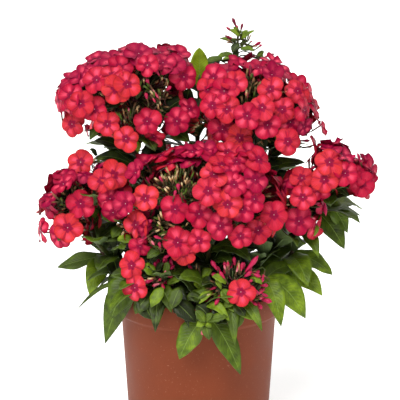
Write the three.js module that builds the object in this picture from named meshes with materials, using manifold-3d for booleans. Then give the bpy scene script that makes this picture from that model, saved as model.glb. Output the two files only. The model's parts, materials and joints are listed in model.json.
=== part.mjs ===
// A potted garden phlox: a round plastic pot filled with soil, leafy stems that stand in the soil,
// and a domed head of five-petalled florets on each flowering stem.
// Millimetres, +Z up, origin at the middle of the pot's base. The plant's showy side faces -Y.
import * as THREE from "three";
import { mergeVertices } from "three/addons/utils/BufferGeometryUtils.js";
import Module from "manifold-3d";

const wasm = await Module();
wasm.setup();

// ---- Driving dimensions -------------------------------------------------------------------------

const POT = {
  height: 162,
  rimRadius: 92,
  rimBand: 23,
  bandFoot: 91,
  shoulder: 5,
  bodyRadius: 84.5,
  footRadius: 76,
  wall: 2.6,
  base: 3.5,
  lip: 1.2,
  sides: 30,
  holes: 4,
  holeRadius: 5,
  holeCircle: 46,
};
const GAP = 0.3;
const SOIL = { top: 150, crown: 4, lump: 1.6, sides: 15, stemDepth: 20 };
const STEM = { footRadius: 3.2, tipRadius: 1.8, sides: 5, ringStep: 42 };
const LEAF = {
  length: 72,
  halfWidth: 12.5,
  thickness: 1.3,
  fold: 0.3,
  petiole: 1.5,
  skew: 0.95,
  fullness: 0.75,
  first: 20,
  step: 50,
  clearOfHead: 24,
  long: 58,
  lean: 0.8,
};
const FLORET = {
  radius: 17.2,
  notch: 0.68,
  shoulder: 0.34,
  throat: 1.5,
  body: 1.9,
  tube: 1.5,
  layer: 3.8,
};
const SPACING = { florets: 28.4, buds: 11, budLobe: 19 };
const CORE = { share: 0.5, sides: 6, seat: 4.5, branch: 2 };
const BUD = { length: 21, radius: 2.3, sides: 3 };
const SPRAY = { arms: 16, height: 62, reach: 26 };
const PLACES = 260;
const LOWEST_FACING = -0.72;
const UPTURN = 0.35;
const TURN = Math.PI * 2;
const GOLDEN_ANGLE = Math.PI * (3 - Math.sqrt(5));

// Flower heads. Each is built of rounded lobes: a middle and half-sizes across, deep and high. The
// first lobe stands on the stem. `open` lists where buds stand instead of florets: a direction from
// the first lobe's middle and a half-angle. `single` adds a floret: its middle and where it faces.
const HEADS = {
  upper_left: {
    lobes: [
      { at: [-69, -18, 376], radii: [52, 50, 52] },
      { at: [-119, -18, 373], radii: [25, 34, 34] },
      { at: [-34, -8, 399], radii: [26, 32, 26] },
      { at: [-21, -34, 355], radii: [15, 15, 15] },
    ],
    open: [
      { towards: [0.36, -0.9, 0.12], reach: 0.32 },
      { towards: [-0.25, -0.8, -0.42], reach: 0.2 },
    ],
    single: [{ at: [-135, -36, 348], facing: [-0.3, -0.9, 0.2] }],
  },
  upper_right: {
    lobes: [
      { at: [58, -10, 361], radii: [50, 48, 50] },
      { at: [104, -10, 356], radii: [22, 32, 32] },
    ],
    open: [{ towards: [-0.05, -0.75, 0.65], reach: 0.24 }],
  },
  front: {
    lobes: [
      { at: [14, -62, 274], radii: [72, 42, 50] },
      { at: [-36, -70, 246], radii: [36, 32, 32] },
      { at: [62, -64, 259], radii: [26, 30, 28] },
    ],
    open: [{ towards: [-0.45, -0.6, 0.42], reach: 0.34 }],
  },
  left: {
    lobes: [
      { at: [-97, -52, 286], radii: [18, 24, 24] },
      { at: [-134, -45, 264], radii: [28, 34, 36] },
    ],
    open: [{ towards: [-0.79, -0.59, -0.16], reach: 0.3 }],
    single: [{ at: [-122, -46, 306], facing: [-0.1, -0.8, 0.5] }],
  },
  right: {
    lobes: [
      { at: [142, -38, 302], radii: [24, 28, 25] },
      { at: [168, -30, 290], radii: [18, 22, 24] },
      { at: [112, -46, 268], radii: [20, 22, 32] },
    ],
    open: [],
  },
  back_left: {
    lobes: [{ at: [-84, 90, 338], radii: [37, 35, 35] }],
    open: [{ towards: [0.2, 0.5, 0.8], reach: 0.36 }],
  },
  back_right: {
    lobes: [{ at: [82, 92, 334], radii: [37, 35, 35] }],
    open: [{ towards: [0.3, 0.5, 0.8], reach: 0.36 }],
  },
  back: {
    lobes: [{ at: [-4, 100, 264], radii: [44, 34, 36] }],
    open: [{ towards: [-0.3, 0.5, 0.8], reach: 0.36 }],
  },
  low_left: {
    lobes: [{ at: [-46, -84, 198], radii: [20, 12, 16], buds: true }],
    open: [],
    single: [
      { at: [-71, -94, 211], facing: [-0.3, -0.9, 0.35] },
      { at: [-67, -100, 188], facing: [-0.1, -0.9, 0.2] },
    ],
  },
  low_front: {
    lobes: [{ at: [40, -90, 188], radii: [32, 16, 26], buds: true }],
    open: [],
    single: [{ at: [43, -110, 186], facing: [-0.1, -0.85, 0.4] }],
  },
};

// Stems: where each leaves the soil. A stem that bears a head runs up under it; one that doesn't
// has its own tip, and the way it points there. `rise` is how far it climbs before it leans out, `by`
// bends it towards a place on the way, `turn` sets which way its lowest leaves point, and `bare` is
// the leafless top that carries a spray of buds.
const STEMS = {
  upper_left: { foot: [-24, -6], turn: 0.5 },
  upper_right: { foot: [22, 2], turn: 0.2 },
  front: { foot: [4, -26], turn: 0.8 },
  left: { foot: [-44, -18], turn: 0.1, by: [-150, -42, 205] },
  right: { foot: [46, -14], turn: 0.4, by: [140, 6, 226] },
  back_left: { foot: [-34, 26], turn: 0.7 },
  back_right: { foot: [36, 30], turn: 0.6 },
  back: { foot: [-4, 40], turn: 0.3 },
  low_left: { foot: [-34, -42], turn: 0.9 },
  low_front: { foot: [20, -48], turn: 0.5 },
  tall_bud: { foot: [14, 22], tip: [43, 64, 436], way: [0, 0, 1], turn: 0.2, bare: 70 },
  between_heads: { foot: [-8, 14], tip: [1, 38, 388], way: [0, -0.1, 1], turn: 0.1 },
  side_left: { foot: [-56, 4], tip: [-108, 2, 204], way: [-0.5, 0, 1], turn: 0.6 },
  side_right: { foot: [58, 6], tip: [104, -8, 206], way: [0.5, 0, 1], turn: 0.3 },
  over_rim: { foot: [0, -64], tip: [7, -102, 150], way: [0, -0.1, -1], rise: 42, turn: 0 },
  rim_left: { foot: [-46, -46], tip: [-66, -66, 184], way: [-0.5, -0.5, 0.6], turn: 1 },
  rim_right: { foot: [50, -44], tip: [72, -60, 186], way: [0.6, -0.5, 0.6], turn: 0.5 },
  side_back: { foot: [8, 60], tip: [10, 100, 200], way: [0, 0.5, 1], turn: 0.4 },
};

// The large leaves that give the foliage its outline, each on its stem (0 at the soil, 1 at the top)
// and out to its tip. `arch` is how far the midrib rises over the straight line to the tip.
const OUTER_LEAVES = [
  { stem: "side_left", from: 0.85, tip: [-154, 6, 180], arch: 6, halfWidth: 8 },
  { stem: "side_left", from: 0.8, tip: [-117, -34, 160], arch: 10, halfWidth: 12 },
  { stem: "rim_left", from: 0.9, tip: [-92, -72, 146], arch: 16, halfWidth: 14.5 },
  { stem: "rim_left", from: 0.5, tip: [-100, -52, 112], arch: 34, halfWidth: 13.5 },
  { stem: "low_left", from: 0.3, tip: [-45, -112, 144], arch: 24, halfWidth: 11 },
  { stem: "low_left", from: 0.5, tip: [-52, -98, 163], arch: 10, halfWidth: 8 },
  { stem: "low_left", from: 0.62, tip: [-92, -84, 196], arch: 10, halfWidth: 10 },
  { stem: "low_left", from: 0.7, tip: [-28, -106, 163], arch: 12, halfWidth: 8 },
  { stem: "low_left", from: 0.4, tip: [-10, -114, 150], arch: 22, halfWidth: 9 },
  { stem: "left", from: 0.6, tip: [-137, -52, 222], arch: 8, halfWidth: 9 },
  { stem: "left", from: 0.57, tip: [-128, -62, 213], arch: 8, halfWidth: 6.5 },
  { stem: "left", from: 0.62, tip: [-68, -30, 219], arch: 8, halfWidth: 8 },
  { stem: "left", from: 0.62, tip: [-77, -34, 235], arch: 6, halfWidth: 6 },
  { stem: "left", from: 0.48, tip: [-84, -54, 178], arch: 6, halfWidth: 9 },
  { stem: "rim_left", from: 0.85, tip: [-129, -50, 150], arch: 14, halfWidth: 2.4 },
  { stem: "over_rim", from: 0.9, tip: [-20, -108, 113], arch: 6, halfWidth: 13 },
  { stem: "over_rim", from: 0.85, tip: [44, -108, 96], arch: 10, halfWidth: 11.5 },
  { stem: "over_rim", from: 0.7, tip: [32, -116, 157], arch: 8, halfWidth: 5 },
  { stem: "front", from: 0.3, tip: [-36, -92, 184], arch: 10, halfWidth: 11 },
  { stem: "front", from: 0.36, tip: [34, -84, 208], arch: 12, halfWidth: 11 },
  { stem: "low_front", from: 0.7, tip: [66, -116, 146], arch: 16, halfWidth: 6.5 },
  { stem: "low_front", from: 0.4, tip: [38, -118, 142], arch: 24, halfWidth: 8 },
  { stem: "low_front", from: 0.3, tip: [4, -110, 172], arch: 12, halfWidth: 8 },
  { stem: "rim_right", from: 0.9, tip: [87, -86, 142], arch: 14, halfWidth: 11 },
  { stem: "rim_right", from: 0.95, tip: [114, -58, 142], arch: 18, halfWidth: 14.5 },
  { stem: "side_right", from: 0.6, tip: [133, -34, 160], arch: 16, halfWidth: 12.5 },
  { stem: "side_right", from: 0.8, tip: [116, -60, 178], arch: 12, halfWidth: 13 },
  { stem: "side_right", from: 0.85, tip: [145, -12, 177], arch: 10, halfWidth: 10 },
  { stem: "right", from: 0.55, tip: [127, -60, 210], arch: 12, halfWidth: 8 },
  { stem: "right", from: 0.72, tip: [156, -34, 212], arch: 14, halfWidth: 9 },
  { stem: "right", from: 0.78, tip: [160, -20, 226], arch: 14, halfWidth: 10.5 },
  { stem: "right", from: 0.8, tip: [161, -20, 260], arch: 5, halfWidth: 6 },
  { stem: "right", from: 0.86, tip: [161, -4, 266], arch: 4, halfWidth: 4.5 },
  { stem: "right", from: 0.48, tip: [128, -38, 240], arch: 4, halfWidth: 3.5 },
  { stem: "upper_right", from: 0.72, tip: [113, -22, 304], arch: 6, halfWidth: 8 },
  { stem: "upper_left", from: 0.72, tip: [-112, -20, 307], arch: 8, halfWidth: 8 },
  { stem: "upper_left", from: 0.76, tip: [-112, 4, 322], arch: 8, halfWidth: 8 },
  { stem: "between_heads", from: 0.93, tip: [1, 36, 418], arch: 4, halfWidth: 9 },
];

// ---- Small helpers ------------------------------------------------------------------------------

const vec = (x, y, z) => new THREE.Vector3(x, y, z);
const fromList = (list) => vec(list[0], list[1], list[2]);
const mix = (a, b, t) => a + (b - a) * t;
const UP = vec(0, 0, 1);

// A number from -1 to 1 that depends only on its two keys.
function scatter(seed, key) {
  const s = Math.sin(seed * 12.9898 + key * 78.233) * 43758.5453;
  return (s - Math.floor(s)) * 2 - 1;
}

// Point at a place in a frame of three axes.
function place(origin, axes, x, y, z) {
  return origin
    .clone()
    .addScaledVector(axes[0], x)
    .addScaledVector(axes[1], y)
    .addScaledVector(axes[2], z);
}

// Three axes at right angles: the third is `way`, the first lies as near as it can to `across`.
function frameAlong(way, across) {
  const third = way.clone().normalize();
  const first = across.clone().addScaledVector(third, -across.dot(third)).normalize();
  return [first, third.clone().cross(first), third];
}

function solidFrom(points, faces) {
  const flat = new Float32Array(points.flatMap((p) => [p.x, p.y, p.z]));
  const triVerts = new Uint32Array(faces.flat());
  return new wasm.Manifold(new wasm.Mesh({ numProp: 3, vertProperties: flat, triVerts }));
}

// A closed three.js geometry as a solid.
function solidOf(geometry) {
  geometry.deleteAttribute("normal");
  geometry.deleteAttribute("uv");
  const merged = mergeVertices(geometry, 1e-3);
  return new wasm.Manifold(
    new wasm.Mesh({
      numProp: 3,
      vertProperties: merged.attributes.position.array,
      triVerts: new Uint32Array(merged.index.array),
    }),
  );
}

// A solid skin through rings of points, each counter-clockwise as seen from the end. Neighbouring
// sides are split opposite ways, so that a thin blade is split alike on both faces. An end is drawn
// to a point where one is given, and is flat otherwise.
function loft(rings, startPoint, endPoint) {
  const sides = rings[0].length;
  const points = rings.flat();
  const faces = [];
  for (let r = 0; r + 1 < rings.length; r++) {
    for (let i = 0; i < sides; i++) {
      const a = r * sides + i;
      const b = r * sides + ((i + 1) % sides);
      if (i % 2 === 0) faces.push([a, b, b + sides], [a, b + sides, a + sides]);
      else faces.push([a, b, a + sides], [b, b + sides, a + sides]);
    }
  }
  const last = (rings.length - 1) * sides;
  if (startPoint) {
    points.push(startPoint);
    for (let i = 0; i < sides; i++) faces.push([points.length - 1, (i + 1) % sides, i]);
  } else {
    for (let i = 1; i + 1 < sides; i++) faces.push([0, i + 1, i]);
  }
  if (endPoint) {
    points.push(endPoint);
    for (let i = 0; i < sides; i++) {
      faces.push([points.length - 1, last + i, last + ((i + 1) % sides)]);
    }
  } else {
    for (let i = 1; i + 1 < sides; i++) faces.push([last, last + i, last + i + 1]);
  }
  return solidFrom(points, faces);
}

function circle(origin, axes, radius, sides) {
  return Array.from({ length: sides }, (_, i) => {
    const a = (i / sides) * TURN;
    return place(origin, axes, radius * Math.cos(a), radius * Math.sin(a), 0);
  });
}

function nearest(points, target) {
  const far = points.map((p) => p.distanceTo(target));
  return far.indexOf(Math.min(...far));
}

// Joined pieces as one body: hollows that the join seals are filled and loose scraps dropped.
function joined(pieces) {
  const bodies = wasm.Manifold.union(pieces).decompose();
  return bodies.reduce((best, body) => (body.volume() > best.volume() ? body : best));
}

// ---- Flower heads -------------------------------------------------------------------------------

// How far out a point lies from a lobe's middle: 1 on its surface.
function lobeReach(lobe, point) {
  const off = point.clone().sub(fromList(lobe.at));
  return Math.hypot(off.x / lobe.radii[0], off.y / lobe.radii[1], off.z / lobe.radii[2]);
}

// Where the florets and buds of a head sit: down a golden-angle spiral over each lobe, keeping each
// far enough from those before it and clear of the other lobes.
function headPlan(name) {
  const head = HEADS[name];
  const seed = Object.keys(HEADS).indexOf(name) + 1;
  const florets = [];
  const buds = [];
  const middle = fromList(head.lobes[0].at);
  for (const single of head.single ?? []) {
    const facing = fromList(single.facing).normalize();
    florets.push({ at: fromList(single.at), facing, lobe: head.lobes[0], key: seed * 1000 + 999 });
  }
  for (const lobe of head.lobes) {
    for (let k = 0; k < PLACES; k++) {
      const rise = 1 - (2 * (k + 0.5)) / PLACES;
      const angle = k * GOLDEN_ANGLE + seed;
      const flat = Math.sqrt(1 - rise * rise);
      const dir = vec(flat * Math.cos(angle), flat * Math.sin(angle), rise);
      const [rx, ry, rz] = lobe.radii;
      const facing = vec(dir.x / rx, dir.y / ry, dir.z / rz).normalize();
      if (facing.z < LOWEST_FACING) continue;
      if (facing.z < 0) facing.setZ(facing.z * UPTURN).normalize();
      const at = fromList(lobe.at).add(vec(dir.x * rx, dir.y * ry, dir.z * rz));
      if (head.lobes.some((other) => other !== lobe && lobeReach(other, at) < 1.02)) continue;
      const out = at.clone().sub(middle);
      const unopened = lobe.buds || head.open.some((o) => out.angleTo(fromList(o.towards)) < o.reach);
      const budSpace = lobe.buds ? SPACING.budLobe : SPACING.buds;
      const space = unopened ? budSpace : SPACING.florets;
      const kin = unopened ? buds : florets;
      if (kin.some((item) => item.at.distanceTo(at) < space)) continue;
      if (unopened && florets.some((item) => item.at.distanceTo(at) < SPACING.buds)) continue;
      kin.push({ at, facing, lobe, key: seed * 1000 + kin.length });
    }
  }
  florets.forEach((item, i) => {
    const near = florets.slice(0, i).filter((f) => f.at.distanceTo(item.at) < FLORET.radius * 2.1);
    item.layer = [0, 1, 2, 3].find((layer) => near.every((f) => f.layer !== layer)) ?? 4;
  });
  return { florets, buds, middle };
}

// A floret: a five-lobed face, thickest at its middle, on a tube drawn to a point at `root`.
function floret(item, root) {
  const radius = FLORET.radius * (1 + 0.06 * scatter(item.key, 1));
  const spin = scatter(item.key, 2) * Math.PI;
  const axes = frameAlong(item.facing, Math.abs(item.facing.z) > 0.9 ? vec(1, 0, 0) : UP);
  const middle = place(item.at, axes, 0, 0, item.layer * FLORET.layer - FLORET.layer);
  const rim = [];
  for (let petal = 0; petal < 5; petal++) {
    const lobe = [
      { angle: -FLORET.shoulder, reach: radius, lift: 1.3 },
      { angle: FLORET.shoulder, reach: radius, lift: 0.4 },
      { angle: TURN / 10, reach: radius * FLORET.notch, lift: 0.2 },
    ];
    for (const p of lobe) {
      const a = spin + (petal / 5) * TURN + p.angle;
      rim.push(place(middle, axes, p.reach * Math.cos(a), p.reach * Math.sin(a), p.lift));
    }
  }
  const throat = place(middle, axes, 0, 0, -FLORET.throat);
  const collarAt = place(middle, axes, 0, 0, -FLORET.throat - FLORET.body);
  const collar = circle(collarAt, axes, FLORET.tube, 3);
  const points = [...rim, ...collar, throat, root];
  const [ring, top, tail] = [rim.length, rim.length + 3, rim.length + 4];
  const faces = [];
  for (let i = 0; i < rim.length; i++) {
    const next = (i + 1) % rim.length;
    const near = ring + nearest(collar, rim[i]);
    const nearNext = ring + nearest(collar, rim[next]);
    faces.push([top, i, next], [next, i, near]);
    if (near !== nearNext) faces.push([next, near, nearNext]);
  }
  for (let i = 0; i < 3; i++) faces.push([ring + i, tail, ring + ((i + 1) % 3)]);
  return solidFrom(points, faces);
}

// A closed bud: a stalk drawn out from its root that swells and ends in a point.
function bud(item, root) {
  const tip = item.at.clone().addScaledVector(item.facing, BUD.length * 0.35);
  const axes = frameAlong(tip.clone().sub(root), vec(0.3, 0.9, 0.1));
  const swell = place(tip, axes, 0, 0, -BUD.length * 0.4);
  return loft([circle(swell, axes, BUD.radius, BUD.sides)], root, tip);
}

// The branching heart of a lobe as one small closed form, with a flat seat underneath.
function core(lobe) {
  const [rx, ry, rz] = lobe.radii.map((r) => r * CORE.share);
  const ring = (rise, width, depth) =>
    Array.from({ length: CORE.sides }, (_, i) => {
      const a = (i / CORE.sides) * TURN;
      return fromList(lobe.at).add(vec(width * Math.cos(a), depth * Math.sin(a), rise));
    });
  const seat = ring(-rz, CORE.seat, CORE.seat);
  const waist = ring(-rz * 0.2, rx, ry);
  const shoulder = ring(rz * 0.6, rx * 0.75, ry * 0.75);
  return loft([seat, waist, shoulder], null, fromList(lobe.at).add(vec(0, 0, rz)));
}

// The side branch that carries a further lobe, from inside the first core to inside the lobe's own.
function branch(from, to) {
  const axes = frameAlong(to.clone().sub(from), vec(0, 1, 0.2));
  const ends = [circle(from, axes, CORE.branch, 4), circle(to, axes, CORE.branch, 4)];
  return loft(ends, null, null);
}

// A head in one piece. A floret or bud that would cross another piece is left out.
function headSolid(name, others) {
  const { florets, buds } = headPlan(name);
  const [first, ...further] = HEADS[name].lobes;
  const rootOf = (item) => item.at.clone().lerp(fromList(item.lobe.at), 1 - CORE.share * 0.6);
  const pieces = [core(first)];
  for (const lobe of further) pieces.push(core(lobe), branch(fromList(first.at), fromList(lobe.at)));
  const blooms = florets.map((item) => floret(item, rootOf(item)));
  blooms.push(...buds.map((item) => bud(item, rootOf(item))));
  pieces.push(...blooms.filter((bloom) => others.every((other) => !meets(bloom, other))));
  return joined(pieces);
}

// ---- Stems and leaves ---------------------------------------------------------------------------

// Where a stem's line ends and which way it points there: under its head's seat, or at its tip.
function stemEnd(name) {
  const stem = STEMS[name];
  if (stem.tip) return { end: fromList(stem.tip), way: fromList(stem.way).normalize() };
  const lobe = HEADS[name].lobes[0];
  const end = fromList(lobe.at).add(vec(0, 0, -lobe.radii[2] * CORE.share - GAP));
  return { end, way: UP.clone() };
}

function stemCurve(name) {
  const stem = STEMS[name];
  const foot = vec(stem.foot[0], stem.foot[1], SOIL.top);
  const { end, way } = stemEnd(name);
  const reach = foot.distanceTo(end);
  const rise = stem.rise ?? reach * 0.35;
  const first = foot.clone().add(vec(stem.foot[0] * 0.2, stem.foot[1] * 0.2, rise));
  const second = stem.by ? fromList(stem.by) : end.clone().addScaledVector(way, -reach * 0.35);
  return new THREE.CubicBezierCurve3(foot, first, second, end);
}

// The middles of a stem's rings, from its buried end up.
function stemLine(name) {
  const curve = stemCurve(name);
  const steps = Math.max(4, Math.round(curve.getLength() / STEM.ringStep));
  const line = curve.getPoints(steps).slice(1);
  const foot = curve.getPoint(0);
  const buried = foot.clone().addScaledVector(line[0].clone().sub(foot).normalize(), -SOIL.stemDepth);
  return [buried, ...line];
}

function stemSolid(name) {
  const line = stemLine(name);
  const last = line.length - 1;
  const rings = line.map((at, i) => {
    const way = i < last ? line[i + 1].clone().sub(line[Math.max(i - 1, 0)]) : stemEnd(name).way;
    const radius = mix(STEM.footRadius, STEM.tipRadius, i / last);
    return circle(at, frameAlong(way, vec(1, 0, 0)), radius, STEM.sides);
  });
  return loft(rings, null, null);
}

// The leaves of a stem: opposite pairs, each a quarter turn on from the one below, and any of the
// large outer leaves that grow on it. A leaf's upper face leans the way that `facing` points.
function leafPlan(name) {
  const stem = STEMS[name];
  const seed = Object.keys(STEMS).indexOf(name) + 51;
  const curve = stemCurve(name);
  const reach = curve.getLength();
  const end = reach - (stem.bare ?? (stem.tip ? 2 : LEAF.clearOfHead));
  const leaves = [];
  for (let pair = 0; LEAF.first + pair * LEAF.step <= end; pair++) {
    const t = (LEAF.first + pair * LEAF.step) / reach;
    const root = curve.getPointAt(t);
    const outward = Math.atan2(root.y, root.x);
    for (let side = 0; side < 2; side++) {
      const key = seed * 100 + pair * 2 + side;
      const heading = stem.turn + pair * (TURN / 4) + side * (TURN / 2) + 0.25 * scatter(key, 1);
      const open = (1 + Math.cos(heading - outward)) / 2;
      const size = mix(0.6, 1, open) * mix(1.05, 0.75, t) * (1 + 0.1 * scatter(key, 2));
      const climb = mix(0.7, 0.1, open) + 0.2 * scatter(key, 3);
      const length = LEAF.length * size;
      const level = vec(Math.cos(heading), Math.sin(heading), 0).multiplyScalar(length * Math.cos(climb));
      const tip = root.clone().add(level).addScaledVector(UP, length * Math.sin(climb));
      const facing = vec(Math.cos(outward), Math.sin(outward), 0);
      leaves.push({ root, tip, arch: length * 0.2, halfWidth: LEAF.halfWidth * size, facing });
    }
  }
  for (const leaf of OUTER_LEAVES.filter((l) => l.stem === name)) {
    const root = curve.getPointAt(leaf.from);
    leaves.push({ ...leaf, root, tip: fromList(leaf.tip), facing: vec(0, -1, 0) });
  }
  return leaves;
}

// Half the blade's width along its length: narrow at the stalk, full along the middle, pointed.
function bladeWidth(leaf, t) {
  const swell = Math.pow(Math.sin(Math.PI * Math.pow(t, LEAF.skew)), LEAF.fullness);
  return leaf.halfWidth * swell + LEAF.petiole * (1 - t);
}

function leafSolid(leaf) {
  const upper = UP.clone().addScaledVector(leaf.facing, LEAF.lean);
  const over = leaf.root.clone().lerp(leaf.tip, 0.5).addScaledVector(UP, leaf.arch * 2);
  const midrib = new THREE.QuadraticBezierCurve3(leaf.root, over, leaf.tip);
  const stations = leaf.root.distanceTo(leaf.tip) > LEAF.long ? [0.18, 0.46, 0.76] : [0.26, 0.68];
  const rings = stations.map((t) => {
    const tangent = midrib.getTangent(t);
    const width = bladeWidth(leaf, t);
    const lift = width * Math.sin(LEAF.fold);
    const across = upper.clone().cross(tangent).normalize();
    const axes = [across, tangent.clone().cross(across), tangent];
    const at = midrib.getPoint(t);
    return [
      place(at, axes, width * Math.cos(LEAF.fold), lift, 0),
      place(at, axes, 0, -LEAF.thickness / 2, 0),
      place(at, axes, -width * Math.cos(LEAF.fold), lift, 0),
      place(at, axes, 0, LEAF.thickness / 2, 0),
    ];
  });
  rings.forEach((ring) => ring.reverse());
  return loft(rings, leaf.root, leaf.tip);
}

// Ways to turn and lift a leaf that meets another piece, the smallest first.
const BENDS = [0, 0.15, -0.15, 0.3, -0.3, 0.45, -0.45, 0.65, -0.65].flatMap((turn) =>
  [0, 0.2, -0.2, 0.4].map((lift) => ({ turn, lift })),
);

function bent(leaf, { turn, lift }) {
  const reach = leaf.tip.clone().sub(leaf.root);
  reach.applyAxisAngle(UP, turn);
  reach.z += lift * Math.hypot(reach.x, reach.y);
  return { ...leaf, tip: leaf.root.clone().add(reach) };
}

function clearLeaf(leaf, others) {
  for (const bend of BENDS) {
    const tried = leafSolid(bent(leaf, bend));
    if (others.every((other) => !meets(tried, other))) return tried;
  }
  return null;
}

function meets(a, b) {
  const [boxA, boxB] = [a.boundingBox(), b.boundingBox()];
  for (let i = 0; i < 3; i++) {
    if (boxA.max[i] < boxB.min[i] || boxB.max[i] < boxA.min[i]) return false;
  }
  return a.intersect(b).volume() > 0;
}

// ---- Pot and soil -------------------------------------------------------------------------------

function lathe(profile, sides) {
  const geometry = new THREE.LatheGeometry(
    profile.map(([r, z]) => new THREE.Vector2(r, z)),
    sides,
  );
  return geometry.rotateX(Math.PI / 2);
}

const BAND_BOTTOM = POT.height - POT.rimBand;
const potInside = (z) => mix(POT.footRadius, POT.bodyRadius, z / BAND_BOTTOM) - POT.wall;

function potSolid() {
  const profile = [
    [0, 0],
    [POT.footRadius - POT.lip, 0],
    [POT.footRadius, POT.lip],
    [POT.bodyRadius, BAND_BOTTOM - POT.shoulder],
    [POT.bandFoot, BAND_BOTTOM],
    [POT.rimRadius, POT.height - POT.lip],
    [POT.rimRadius - POT.lip, POT.height],
    [POT.rimRadius - POT.wall, POT.height],
    [POT.bandFoot - POT.wall, BAND_BOTTOM + POT.wall],
    [potInside(BAND_BOTTOM), BAND_BOTTOM],
    [potInside(POT.base), POT.base],
    [0, POT.base],
  ];
  let pot = solidOf(lathe(profile, POT.sides));
  for (let i = 0; i < POT.holes; i++) {
    const a = (i / POT.holes) * TURN;
    const drill = new THREE.CylinderGeometry(POT.holeRadius, POT.holeRadius, POT.base * 4, 8);
    drill.rotateX(Math.PI / 2);
    drill.translate(POT.holeCircle * Math.cos(a), POT.holeCircle * Math.sin(a), 0);
    pot = pot.subtract(solidOf(drill));
  }
  return pot;
}

function soilSolid(names) {
  const slack = GAP * 2;
  const edge = POT.bandFoot - POT.wall - slack;
  const profile = [
    [0, POT.base + GAP],
    [potInside(POT.base) - slack, POT.base + GAP],
    [potInside(BAND_BOTTOM) - slack, BAND_BOTTOM],
    [edge, BAND_BOTTOM + POT.wall + slack],
    [edge, SOIL.top - SOIL.crown],
    [edge * 0.72, SOIL.top - 1],
    [edge * 0.36, SOIL.top],
    [0, SOIL.top + 1],
  ];
  const geometry = lathe(profile, SOIL.sides);
  const spots = geometry.attributes.position;
  for (let i = 0; i < spots.count; i++) {
    const [x, y, z] = [spots.getX(i), spots.getY(i), spots.getZ(i)];
    if (z > SOIL.top - SOIL.crown + 1) {
      spots.setZ(i, z + SOIL.lump * Math.sin(x * 0.21 + 1) * Math.cos(y * 0.17));
    }
  }
  let soil = solidOf(geometry);
  for (const name of names) soil = soil.subtract(stemHole(name));
  return soil;
}

// The plain hole that a stem stands in, a gap wider and deeper than the stem.
function stemHole(name) {
  const [buried, next] = stemLine(name);
  const way = next.clone().sub(buried).normalize();
  const axes = frameAlong(way, vec(1, 0, 0));
  const radius = STEM.footRadius + GAP * 1.5;
  const ends = [-GAP, SOIL.stemDepth * 1.5].map((along) =>
    circle(buried.clone().addScaledVector(way, along), axes, radius, STEM.sides),
  );
  return loft(ends, null, null);
}

// ---- The unopened spray at the top of the tall stem ---------------------------------------------

// Side arms that climb from the stem in a spiral, longest at the foot of the spray, each drawn out
// to a pointed bud.
function spraySolids(name) {
  const curve = stemCurve(name);
  const reach = curve.getLength();
  const pieces = [];
  for (let k = 0; k < SPRAY.arms; k++) {
    const share = k / (SPRAY.arms - 1);
    const root = curve.getPointAt(mix(1 - SPRAY.height / reach, 1, share) - 0.01);
    const angle = k * GOLDEN_ANGLE + 0.4;
    const out = mix(SPRAY.reach, SPRAY.reach * 0.2, share);
    const facing = vec(Math.cos(angle), Math.sin(angle), 0.9).normalize();
    const at = root.clone().add(vec(out * Math.cos(angle), out * Math.sin(angle), out * 0.5));
    pieces.push(bud({ at, facing }, root));
  }
  return pieces;
}

// ---- Assembly -----------------------------------------------------------------------------------

const FINISH = {
  pot: { color: 0x9a4f36, roughness: 0.55 },
  soil: { color: 0x2e221a, roughness: 1 },
  stem: { color: 0x47702a, roughness: 0.6 },
  head: { color: 0xd8213f, roughness: 0.6 },
};

function meshFrom(name, solid, finish) {
  const made = solid.getMesh();
  const geometry = new THREE.BufferGeometry();
  const positions = new Float32Array(made.numVert * 3);
  for (let i = 0; i < made.numVert; i++) {
    positions.set(made.vertProperties.subarray(i * made.numProp, i * made.numProp + 3), i * 3);
  }
  geometry.setAttribute("position", new THREE.BufferAttribute(positions, 3));
  geometry.setIndex(new THREE.BufferAttribute(made.triVerts, 1));
  geometry.computeVertexNormals();
  const material = new THREE.MeshStandardMaterial({ ...FINISH[finish], metalness: 0 });
  const mesh = new THREE.Mesh(geometry, material);
  mesh.name = name;
  return mesh;
}

const plant = new THREE.Group();
const stems = new Map(Object.keys(STEMS).map((name) => [name, stemSolid(name)]));
const pot = potSolid();
const soil = soilSolid(Object.keys(STEMS));
plant.add(meshFrom("pot", pot, "pot"));
plant.add(meshFrom("soil", soil, "soil"));

const heads = [];
for (const name of Object.keys(HEADS)) {
  const head = headSolid(name, [...stems.values(), ...heads]);
  heads.push(head);
  plant.add(meshFrom("head_" + name, head, "head"));
}

// Each stem's leaves keep clear of all that is already in place and of the other bare stems.
const taken = [pot, soil, ...heads];
for (const [name, stem] of stems) {
  const others = [...stems.values()].filter((other) => other !== stem);
  const leaves = leafPlan(name).map((leaf) => clearLeaf(leaf, [...taken, ...others]));
  const arms = STEMS[name].bare ? spraySolids(name) : [];
  const whole = joined([stem, ...arms, ...leaves.filter((leaf) => leaf !== null)]);
  taken.push(whole);
  plant.add(meshFrom("stem_" + name, whole, "stem"));
}

export default plant;
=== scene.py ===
"""Looks for a potted garden phlox: petals, buds, leaves, stems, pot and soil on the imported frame."""

import json
import math
from collections import namedtuple
from functools import partial
from itertools import count, product

import bmesh
import bpy
import numpy as np
from bpy.props import FloatProperty, FloatVectorProperty, IntProperty, PointerProperty
from mathutils import Matrix, Vector, noise

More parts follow.
